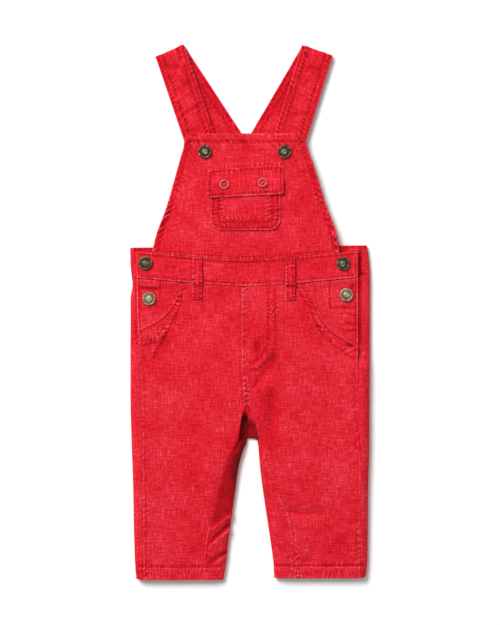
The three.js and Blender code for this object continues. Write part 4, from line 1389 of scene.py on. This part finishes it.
def measured(route):
    """A route and the way along it to each of its points"""
    route = as_route(route)
    return route, np.concatenate([[0], np.cumsum(np.linalg.norm(np.diff(route, axis=0), axis=1))])


def at_way(route, way, at):
    return np.stack([np.interp(at, way, route[:, 0]), np.interp(at, way, route[:, 1])])


def ring_faces(rings, sides):
    """Triangles that join rings of points"""
    faces = []
    for ring in range(rings - 1):
        for side in range(sides):
            a, b = ring * sides + side, ring * sides + (side + 1) % sides
            faces += [(a, b, b + sides), (a, b + sides, a + sides)]
    return faces


class Thread:
    """Collects the stitches of one region and makes them into a piece"""

    def __init__(self):
        self.points, self.faces, self.count = [], [], 0

    def row(self, place, route, up=1.0):
        """Stitches along a route in the plane of a surface, which place turns into points"""
        route, way = measured(route)
        count = int(way[-1] / STITCH_PITCH)
        if count < 1:
            return
        middle = (np.arange(count) + 0.5) * way[-1] / count
        wander = WANDER * noise(middle / 3, middle * 0, 5)
        ends = []
        for offset in (-STITCH_LENGTH / 2, 0, STITCH_LENGTH / 2):
            ends.append(at_way(route, way, np.clip(middle + offset + wander, 0, way[-1])))
        self.add(place, ends, up)

    def bars(self, place, route, width):
        """A bartack: close stitches across a route"""
        route, way = measured(route)
        at = np.linspace(0, way[-1], max(2, int(way[-1] / BAR_PITCH)))
        middle = at_way(route, way, at)
        run = route[-1] - route[0]
        side = np.array([-run[1], run[0]]) / np.hypot(*run) * width / 2
        lean = np.where(np.arange(len(at)) % 2 == 0, 0.25, -0.25) * BAR_PITCH
        shift = np.outer(run / np.hypot(*run), lean)
        self.add(place, [middle - side[:, None] - shift, middle, middle + side[:, None] + shift])

    def add(self, place, ends, up=1.0):
        step = 0.3
        start, middle, end = (np.stack(place(*point)) for point in ends)
        a, b = ends[1]
        slope_a = np.stack(place(a + step, b)) - np.stack(place(a - step, b))
        slope_b = np.stack(place(a, b + step)) - np.stack(place(a, b - step))
        normal = np.cross(slope_a.T, slope_b.T)
        normal /= np.linalg.norm(normal, axis=1)[:, None]
        normal *= np.sign(normal[:, 2] * up)[:, None]
        start, middle, end = start.T, middle.T, end.T
        run = end - start
        run /= np.maximum(np.linalg.norm(run, axis=1), 1e-9)[:, None]
        side = np.cross(normal, run)
        angles = np.arange(THREAD_SIDES) * 2 * np.pi / THREAD_SIDES
        made = []
        for share, size, lift in THREAD_RINGS:
            bow = 4 * share * (1 - share)
            centre = mix(start, end, share) * (1 - bow) + middle * bow
            centre = centre + (mix(start, end, share) - mix(start, end, 0.5)) * bow
            centre = centre + normal * THREAD_RADIUS * lift
            for angle in angles:
                round_it = np.cos(angle) * side + np.sin(angle) * normal
                made.append(centre + THREAD_RADIUS * size * round_it)
        faces = ring_faces(len(THREAD_RINGS), THREAD_SIDES)
        last = (len(THREAD_RINGS) - 1) * THREAD_SIDES
        for corner in range(1, THREAD_SIDES - 1):
            faces += [(0, corner + 1, corner), (last, last + corner, last + corner + 1)]
        faces = np.array(faces)[:, ::-1]
        per = len(THREAD_RINGS) * THREAD_SIDES
        offsets = np.arange(len(start))[:, None, None] * per
        self.faces.append((faces[None] + offsets).reshape(-1, 3) + self.count)
        self.points.append(np.stack(made, axis=1).reshape(-1, 3))
        self.count += len(start) * per

    def piece(self, name):
        points, faces = np.vstack(self.points), np.vstack(self.faces)
        return new_mesh(name, points, faces, MATERIALS["thread"])


def on(base, relief):
    """Place on a height field with its relief"""
    return lambda x, y: (x, y, base(x, y) + relief(x, y)[0])


def stitch_legs():
    thread = Thread()
    leg = on(top, leg_relief)
    for name, side in SIDES.items():
        sign, end = side["sign"], side["slash_end"]
        thread.row(leg, shifted(slash_edge(side), -sign * 2.4))
        thread.row(leg, SLASH_ROWS[name])
        thread.row(leg, shifted(table_route(side["seam"], end - 2, LEG_END + 6), -sign * 3))
        thread.row(leg, hem_row(side, HEM_ROW, 5))
    thread.row(leg, shifted(CENTRE_FRONT, -4))
    thread.row(leg, FLY_OUTER)
    thread.row(leg, FLY_INNER[:-4])
    for tack in (FLY_TACK, CROTCH_TACK):
        thread.bars(leg, tack, TACK_WIDTH)
    return thread.piece("stitches_legs")


def stitch_waist():
    thread = Thread()
    band = on(band_base, band_relief)
    for drop in BAND_ROWS:
        thread.row(band, band_row(drop, 3))
    for side in SIDES.values():
        thread.row(band, band_end(side))
    for middle, start, end in LOOPS.values():
        place = {"middle": middle, "start": start, "end": end}
        loop = on(partial(loop_base, **place), partial(loop_relief, **place))
        for offset in (-LOOP_ROW, LOOP_ROW):
            thread.row(loop, upright(middle + offset, start - 4, end + 4))
        for at in (start - LOOP_TACK, end + LOOP_TACK):
            thread.bars(loop, [(middle - 3.9, at), (middle + 3.9, at)], LOOP_TACK_WIDTH)
    return thread.piece("stitches_waist")


def stitch_bib():
    thread = Thread()
    bib, pocket, flap = on(bib_base, bib_relief), on(pocket_base, pocket_relief), on(flap_base, flap_relief)
    for column, sign in ((1, -1), (2, 1)):
        thread.row(bib, bib_edge(column, sign, BIB_HEM))
    thread.row(bib, bib_row(BIB_ROW, 7))
    for inset in POCKET_ROWS:
        route = pocket_route(inset)
        thread.row(pocket, route[route[:, 1] < FLAP["bottom"] - 1.7])
    for height in FLAP_ROWS:
        thread.row(flap, flap_row(height))
    for sign in (-1, 1):
        thread.row(flap, flap_side(sign, 2.4, 4, FLAP_DROP - 3))
    return thread.piece("stitches_bib")


def stitch_straps():
    thread = Thread()
    for name, strap in STRAPS.items():
        width = strap_frame(strap)[2]

        def front(u, v, name=name, strap=strap, width=width):
            x, y, z = strap_front(strap, u / width, v)
            way = -v - np.pi * STRAP_HEIGHT / 2
            return x, y, z + strap_relief(name, u, way, width)[0]

        for at in strap_rows(width):
            thread.row(front, lengthwise(at, STRAP_STITCHED))
    return thread.piece("stitches_straps")


def stitch_back():
    """Rows on the underside: the hems, the centre seam and the yoke"""
    thread = Thread()

    def below(x, y):
        return x, y, under(x, y) - under_relief(x, y)[0] + THREAD_RADIUS / 2

    for side in SIDES.values():
        thread.row(below, hem_row(side, HEM_ROW, 8), up=-1)
    for route in (shifted(CENTRE_BACK, 2.5), shifted(CENTRE_BACK, -2.5), YOKE_ROW):
        thread.row(below, route, up=-1)
    return thread.piece("stitches_back")


# Buttons and snaps

def lathe(profile, sides):
    """Points and triangles of a turned shape, from its middle below to its middle above"""
    turn = np.linspace(0, 2 * np.pi, sides, endpoint=False)
    rings = []
    for radius, height, beads, depth in profile:
        size = 1 + depth * np.cos(beads * turn)
        ring = radius * size
        rings.append(np.column_stack([ring * np.cos(turn), ring * np.sin(turn), np.full(sides, height)]))
    return np.vstack(rings), np.array(ring_faces(len(profile), sides))


# Turned shapes as rows of (radius, height), from the middle below to the middle above
BUTTON_PROFILE = [
    (0.02, 0), (3, 0), (5.8, 0), (6.8, 0.6), (7.0, 1.3), (6.75, 2.1), (6.2, 2.65), (5.7, 2.7), (5.35, 2.3),
    (5.1, 2.0), (4.4, 1.95), (3.8, 2.05), (3.4, 2.5), (3.0, 2.95), (2.3, 3.3), (1.2, 3.55), (0.02, 3.6),
]
SNAP_RING = [
    (4.0, 0), (4.6, 0.1), (4.9, 0.6), (4.75, 1.1), (4.35, 1.4), (3.9, 1.45), (3.55, 1.2), (3.4, 0.8),
    (3.4, 0.2), (3.7, 0), (4.0, 0),
]
SNAP_POST = [(0.02, 0), (1.3, 0.05), (1.45, 0.5), (1.2, 0.85), (0.7, 0.95), (0.02, 1.0)]
BUTTON_RADIUS = 7
BUTTON_SIDES = 56
# Beads of the rim as (radius, width of the beaded band, count, depth)
BEADS = (6.0, 0.5, 28, 0.012)
SNAP_RADIUS = 4.9
SNAP_SIDES = 48
POST_SIDES = 24


def seat(surface, x, y, reach):
    """Foot and direction of a turned piece that stands square on the cloth, just clear of it"""
    step = 2.0
    middle, east, west, north, south = surface(
        x + step * np.array([0, 1, -1, 0, 0]), y + step * np.array([0, 0, 0, 1, -1]))
    normal = np.array([(west - east) / (2 * step), (south - north) / (2 * step), 1.0])
    normal /= np.linalg.norm(normal)
    foot = np.array([x, y, middle])
    turn = np.linspace(0, 2 * np.pi, 24)
    clearance = 0.0
    for radius in (reach / 2, reach):
        ring_x, ring_y = x + radius * np.cos(turn), y + radius * np.sin(turn)
        ring = np.column_stack([ring_x, ring_y, surface(ring_x, ring_y)])
        clearance = max(clearance, float(((ring - foot) @ normal).max()))
    return foot + normal * (clearance + GAP), normal


def turned(name, parts, foot, normal, material, spin=0.0):
    rotation = np.array(Vector((0, 0, 1)).rotation_difference(Vector(normal)).to_matrix())
    spun = np.array(Matrix.Rotation(spin, 3, "Z"))
    points, faces, wear_and_shading, count = [], [], [], 0
    for profile, sides, patina in parts:
        part_points, part_faces = lathe(profile, sides)
        points.append(part_points @ (rotation @ spun).T + foot)
        faces.append(part_faces + count)
        wear_and_shading.append(patina(np.hypot(part_points[:, 0], part_points[:, 1]), part_points[:, 2]))
        count += len(part_points)
    points = np.vstack(points)
    piece = new_mesh(
        name + "_metal", points, np.vstack(faces), material, points[:, :2], np.concatenate(wear_and_shading))
    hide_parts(name)


def button_patina(radius, height):
    """Dark in the recess and bright on the rim and the crown"""
    recess = bell((radius - 4.6) / 0.9)
    return np.clip(0.25 + 0.4 * smooth((height - 1.8) / 0.8) - 0.65 * recess - 0.1 * bell(radius / 2), 0, 1)


def beaded(profile, radius, width, beads, depth):
    """Rounded profile rows with beads round them near a radius"""
    return [(r, z, beads, depth * float(bell((r - radius) / width))) for r, z in curve(profile, 0.6)]


def even_patina(level):
    return lambda radius, height: np.full(len(radius), level)


def add_metal():
    carriers = {"bib": bib_top, "band": band_base, "facing": facing_base}
    for index, (name, (x, y, carrier)) in enumerate(BUTTONS.items()):
        foot, normal = seat(carriers[carrier], x, y, BUTTON_RADIUS)
        parts = [(beaded(BUTTON_PROFILE, *BEADS), BUTTON_SIDES, button_patina)]
        material = MATERIALS["button_side" if carrier == "facing" else "button"]
        turned(name, parts, foot, normal, material, 0.7 * index)
    for name, (x, y) in SNAPS.items():
        foot, normal = seat(flap_base, x, y, SNAP_RADIUS)
        parts = [
            (beaded(SNAP_RING, 0, 1, 1, 0), SNAP_SIDES, even_patina(0.7)),
            (beaded(SNAP_POST, 0, 1, 1, 0), POST_SIDES, even_patina(0.15)),
        ]
        turned(name, parts, foot - normal * GAP, normal, MATERIALS["snap"])


# Materials

class Shader:
    """Short forms for a material's nodes"""

    def __init__(self, name):
        self.material = bpy.data.materials.new(name)
        self.material.use_nodes = True
        self.tree = self.material.node_tree
        self.tree.nodes.clear()
        self.output = self.tree.nodes.new("ShaderNodeOutputMaterial")
        self.surface = self.tree.nodes.new("ShaderNodeBsdfPrincipled")
        self.link(self.surface.outputs[0], self.output.inputs["Surface"])

    def link(self, output, socket):
        self.tree.links.new(output, socket)

    def feed(self, socket, value):
        if isinstance(value, bpy.types.NodeSocket):
            self.link(value, socket)
        else:
            socket.default_value = value

    def principled(self, **values):
        for key, value in values.items():
            self.feed(self.surface.inputs[key.replace("_", " ").title()], value)

    def attribute(self, name, output):
        node = self.tree.nodes.new("ShaderNodeAttribute")
        node.attribute_name = name
        return node.outputs[output]

    def math(self, operation, *values):
        node = self.tree.nodes.new("ShaderNodeMath")
        node.operation = operation
        for socket, value in zip(node.inputs, values):
            self.feed(socket, value)
        return node.outputs[0]

    def scaled(self, vector, scale, shift=(0, 0, 0)):
        node = self.tree.nodes.new("ShaderNodeVectorMath")
        node.operation = "MULTIPLY_ADD"
        self.link(vector, node.inputs[0])
        node.inputs[1].default_value = scale
        node.inputs[2].default_value = shift
        return node.outputs[0]

    def noise(self, vector, detail=2.0, roughness=0.5):
        node = self.tree.nodes.new("ShaderNodeTexNoise")
        self.link(vector, node.inputs["Vector"])
        node.inputs["Scale"].default_value = 1.0
        node.inputs["Detail"].default_value = detail
        node.inputs["Roughness"].default_value = roughness
        return node.outputs[0]

    def ramp(self, factor, stops):
        node = self.tree.nodes.new("ShaderNodeValToRGB")
        self.link(factor, node.inputs[0])
        while len(node.color_ramp.elements) < len(stops):
            node.color_ramp.elements.new(0.5)
        for element, (position, colour) in zip(node.color_ramp.elements, stops):
            element.position = position
            element.color = (*colour, 1)
        return node.outputs[0]

    def bump(self, height, strength, distance):
        node = self.tree.nodes.new("ShaderNodeBump")
        self.link(height, node.inputs["Height"])
        node.inputs["Strength"].default_value = strength
        node.inputs["Distance"].default_value = distance
        return node.outputs[0]


# Cloth colours from the painted shade of grooves and creases to the worn ridges, in linear light
CLOTH_STOPS = [
    (0.0, (0.16, 0.0, 0.003)), (0.2, (0.35, 0.0, 0.005)), (0.36, (0.515, 0.001, 0.009)),
    (0.5, (0.607, 0.008, 0.021)), (0.64, (0.655, 0.03, 0.048)), (1.0, (0.79, 0.21, 0.235)),
]
# Slubs as (scale of the noise, its place, share): along the weft, along the warp, and mottling
CLOTH_SLUBS = [
    ((80, 760, 0), (0, 0, 0), 0.46), ((760, 80, 0), (5, 3, 2), 0.5),
    ((260, 1500, 0), (9, 1, 4), 0.33), ((1500, 260, 0), (2, 7, 6), 0.36),
    ((420, 420, 0), (4, 4, 8), 0.3), ((28, 28, 0), (1, 2, 3), 0.34),
]
WEAR_AND_SHADING_SHARE = 0.24


def cloth_material():
    """Piece-dyed cotton with slubs both ways, lighter where it is worn and darker where shade is painted in
    """
    shader = Shader("red_slub_cotton")
    weave = shader.attribute("weave", "Vector")
    level = 0.5 - sum(share for _, _, share in CLOTH_SLUBS) / 2
    for scale, place, share in CLOTH_SLUBS:
        level = shader.math("MULTIPLY_ADD", shader.noise(shader.scaled(weave, scale, place)), share, level)
    # Wear lightens the colour; painted shade in grooves, creases, the fork and inside faces darkens it
    level = shader.math("MULTIPLY_ADD", shader.attribute("wear_and_shading", "Fac"), WEAR_AND_SHADING_SHARE, level)
    colour = shader.ramp(level, CLOTH_STOPS)
    weft = shader.noise(shader.scaled(weave, (900, 3600, 0)), 1.0)
    warp = shader.noise(shader.scaled(weave, (3600, 900, 0), (3, 5, 7)), 1.0)
    bump = shader.bump(shader.math("ADD", weft, warp), 0.35, 0.0004)
    shader.principled(base_color=colour, roughness=0.88, normal=bump, sheen_weight=0.07, sheen_roughness=0.5)
    shader.surface.inputs["Specular IOR Level"].default_value = 0.15
    shader.surface.inputs["Sheen Tint"].default_value = (1.0, 0.55, 0.58, 1)
    return shader.material


def thread_material():
    shader = Shader("red_thread")
    place = shader.tree.nodes.new("ShaderNodeTexCoord").outputs["Object"]
    level = shader.noise(shader.scaled(place, (420, 420, 420)), 2.0)
    colour = shader.ramp(level, [(0.3, (0.47, 0.004, 0.014)), (0.7, (0.6, 0.018, 0.034))])
    shader.principled(base_color=colour, roughness=0.7)
    shader.surface.inputs["Specular IOR Level"].default_value = 0.3
    return shader.material


def metal_material(name, stops, roughness, metallic):
    """Antiqued metal, dark in its recesses and patchy where it is worn"""
    shader = Shader(name)
    place = shader.tree.nodes.new("ShaderNodeTexCoord").outputs["Object"]
    spots = shader.noise(shader.scaled(place, (900, 900, 900)), 3.0, 0.6)
    patches = shader.noise(shader.scaled(place, (330, 330, 330), (3, 1, 2)), 1.0)
    level = shader.math("MULTIPLY_ADD", spots, 0.5, shader.attribute("wear_and_shading", "Fac"))
    level = shader.math("MULTIPLY_ADD", patches, 1.6, shader.math("SUBTRACT", level, 1.05))
    colour = shader.ramp(level, stops)
    grain = shader.bump(spots, 0.4, 0.0004)
    shader.principled(base_color=colour, roughness=roughness, metallic=metallic, normal=grain)
    return shader.material


MATERIALS = {
    "cloth": cloth_material(),
    "thread": thread_material(),
    "button": metal_material("antique_brass", [
        (0.0, (0.02, 0.011, 0.006)), (0.4, (0.085, 0.05, 0.026)), (0.75, (0.16, 0.135, 0.06)),
        (1.0, (0.5, 0.44, 0.28)),
    ], 0.55, 0.6),
    "button_side": metal_material("antique_nickel", [
        (0.0, (0.16, 0.1, 0.06)), (0.4, (0.27, 0.2, 0.12)), (0.75, (0.43, 0.35, 0.23)),
        (1.0, (0.72, 0.63, 0.5)),
    ], 0.5, 0.6),
    "snap": metal_material("copper_plate", [
        (0.0, (0.27, 0.025, 0.03)), (0.5, (0.42, 0.07, 0.08)), (1.0, (0.58, 0.18, 0.19)),
    ], 0.6, 0.25),
}

# The garment

for side_name, side_values in SIDES.items():
    add_front_leg(f"leg_front_{side_name}", side_values)
    add_back_leg(f"leg_back_{side_name}", side_values)
    add_facing(f"hip_facing_{side_name}", side_values)
add_front_band()
add_back_band()
add_bib()
add_pocket()
add_flap()
for loop_name, loop_values in LOOPS.items():
    add_loop(loop_name, *loop_values)
for strap_name, strap_values in STRAPS.items():
    add_strap(strap_name, strap_values)
add_metal()
threads = {
    "leg_front_right": [stitch_legs()], "waistband_front": [stitch_waist()], "bib": [stitch_bib()],
    "strap_right": [stitch_straps()], "leg_back_right": [stitch_back()],
}


# Surface, light and camera, in metres

FLOOR_REACH = 4
FLOOR_LEVEL = -0.0003
FLOOR_GREY = 0.93
WORLD_LIGHT = 0.36
# Lights as (name, place, size, power)
LIGHTS = [("key", (-1.9, 2.2, 3.2), 2.7, 240), ("fill", (2.2, -0.6, 3.4), 3.0, 14)]
CAMERA_PLACE = (0.00026, -0.0005, 2.4)
FRAME_HEIGHT = 0.64375
SENSOR_HEIGHT = 24


def add_floor():
    mesh = bpy.data.meshes.new("floor")
    plan = ((-1, -1), (1, -1), (1, 1), (-1, 1))
    corners = [(x * FLOOR_REACH, y * FLOOR_REACH, FLOOR_LEVEL) for x, y in plan]
    mesh.from_pydata(corners, [], [(0, 1, 2, 3)])
    floor = bpy.data.objects.new("floor", mesh)
    bpy.context.scene.collection.objects.link(floor)
    shader = Shader("white_paper")
    shader.principled(base_color=(FLOOR_GREY, FLOOR_GREY, FLOOR_GREY, 1), roughness=0.9)
    mesh.materials.append(shader.material)


def add_light(name, place, size, power):
    data = bpy.data.lights.new(name, "AREA")
    data.shape = "DISK"
    data.size = size
    data.energy = power
    light = bpy.data.objects.new(name, data)
    light.location = place
    light.rotation_euler = (Vector((0, 0, 0)) - Vector(place)).to_track_quat("-Z", "Y").to_euler()
    bpy.context.scene.collection.objects.link(light)


def add_camera():
    """Straight above the garment"""
    data = bpy.data.cameras.new("camera")
    data.sensor_fit = "VERTICAL"
    data.sensor_height = SENSOR_HEIGHT
    data.lens = SENSOR_HEIGHT * CAMERA_PLACE[2] / FRAME_HEIGHT
    camera = bpy.data.objects.new("camera", data)
    camera.location = CAMERA_PLACE
    bpy.context.scene.collection.objects.link(camera)
    bpy.context.scene.camera = camera


add_floor()
for light_values in LIGHTS:
    add_light(*light_values)
world = bpy.data.worlds.new("studio")
world.use_nodes = True
world.node_tree.nodes["Background"].inputs[0].default_value = (1, 1, 1, 1)
world.node_tree.nodes["Background"].inputs[1].default_value = WORLD_LIGHT
bpy.context.scene.world = world
bpy.context.scene.view_settings.view_transform = "Standard"
add_camera()
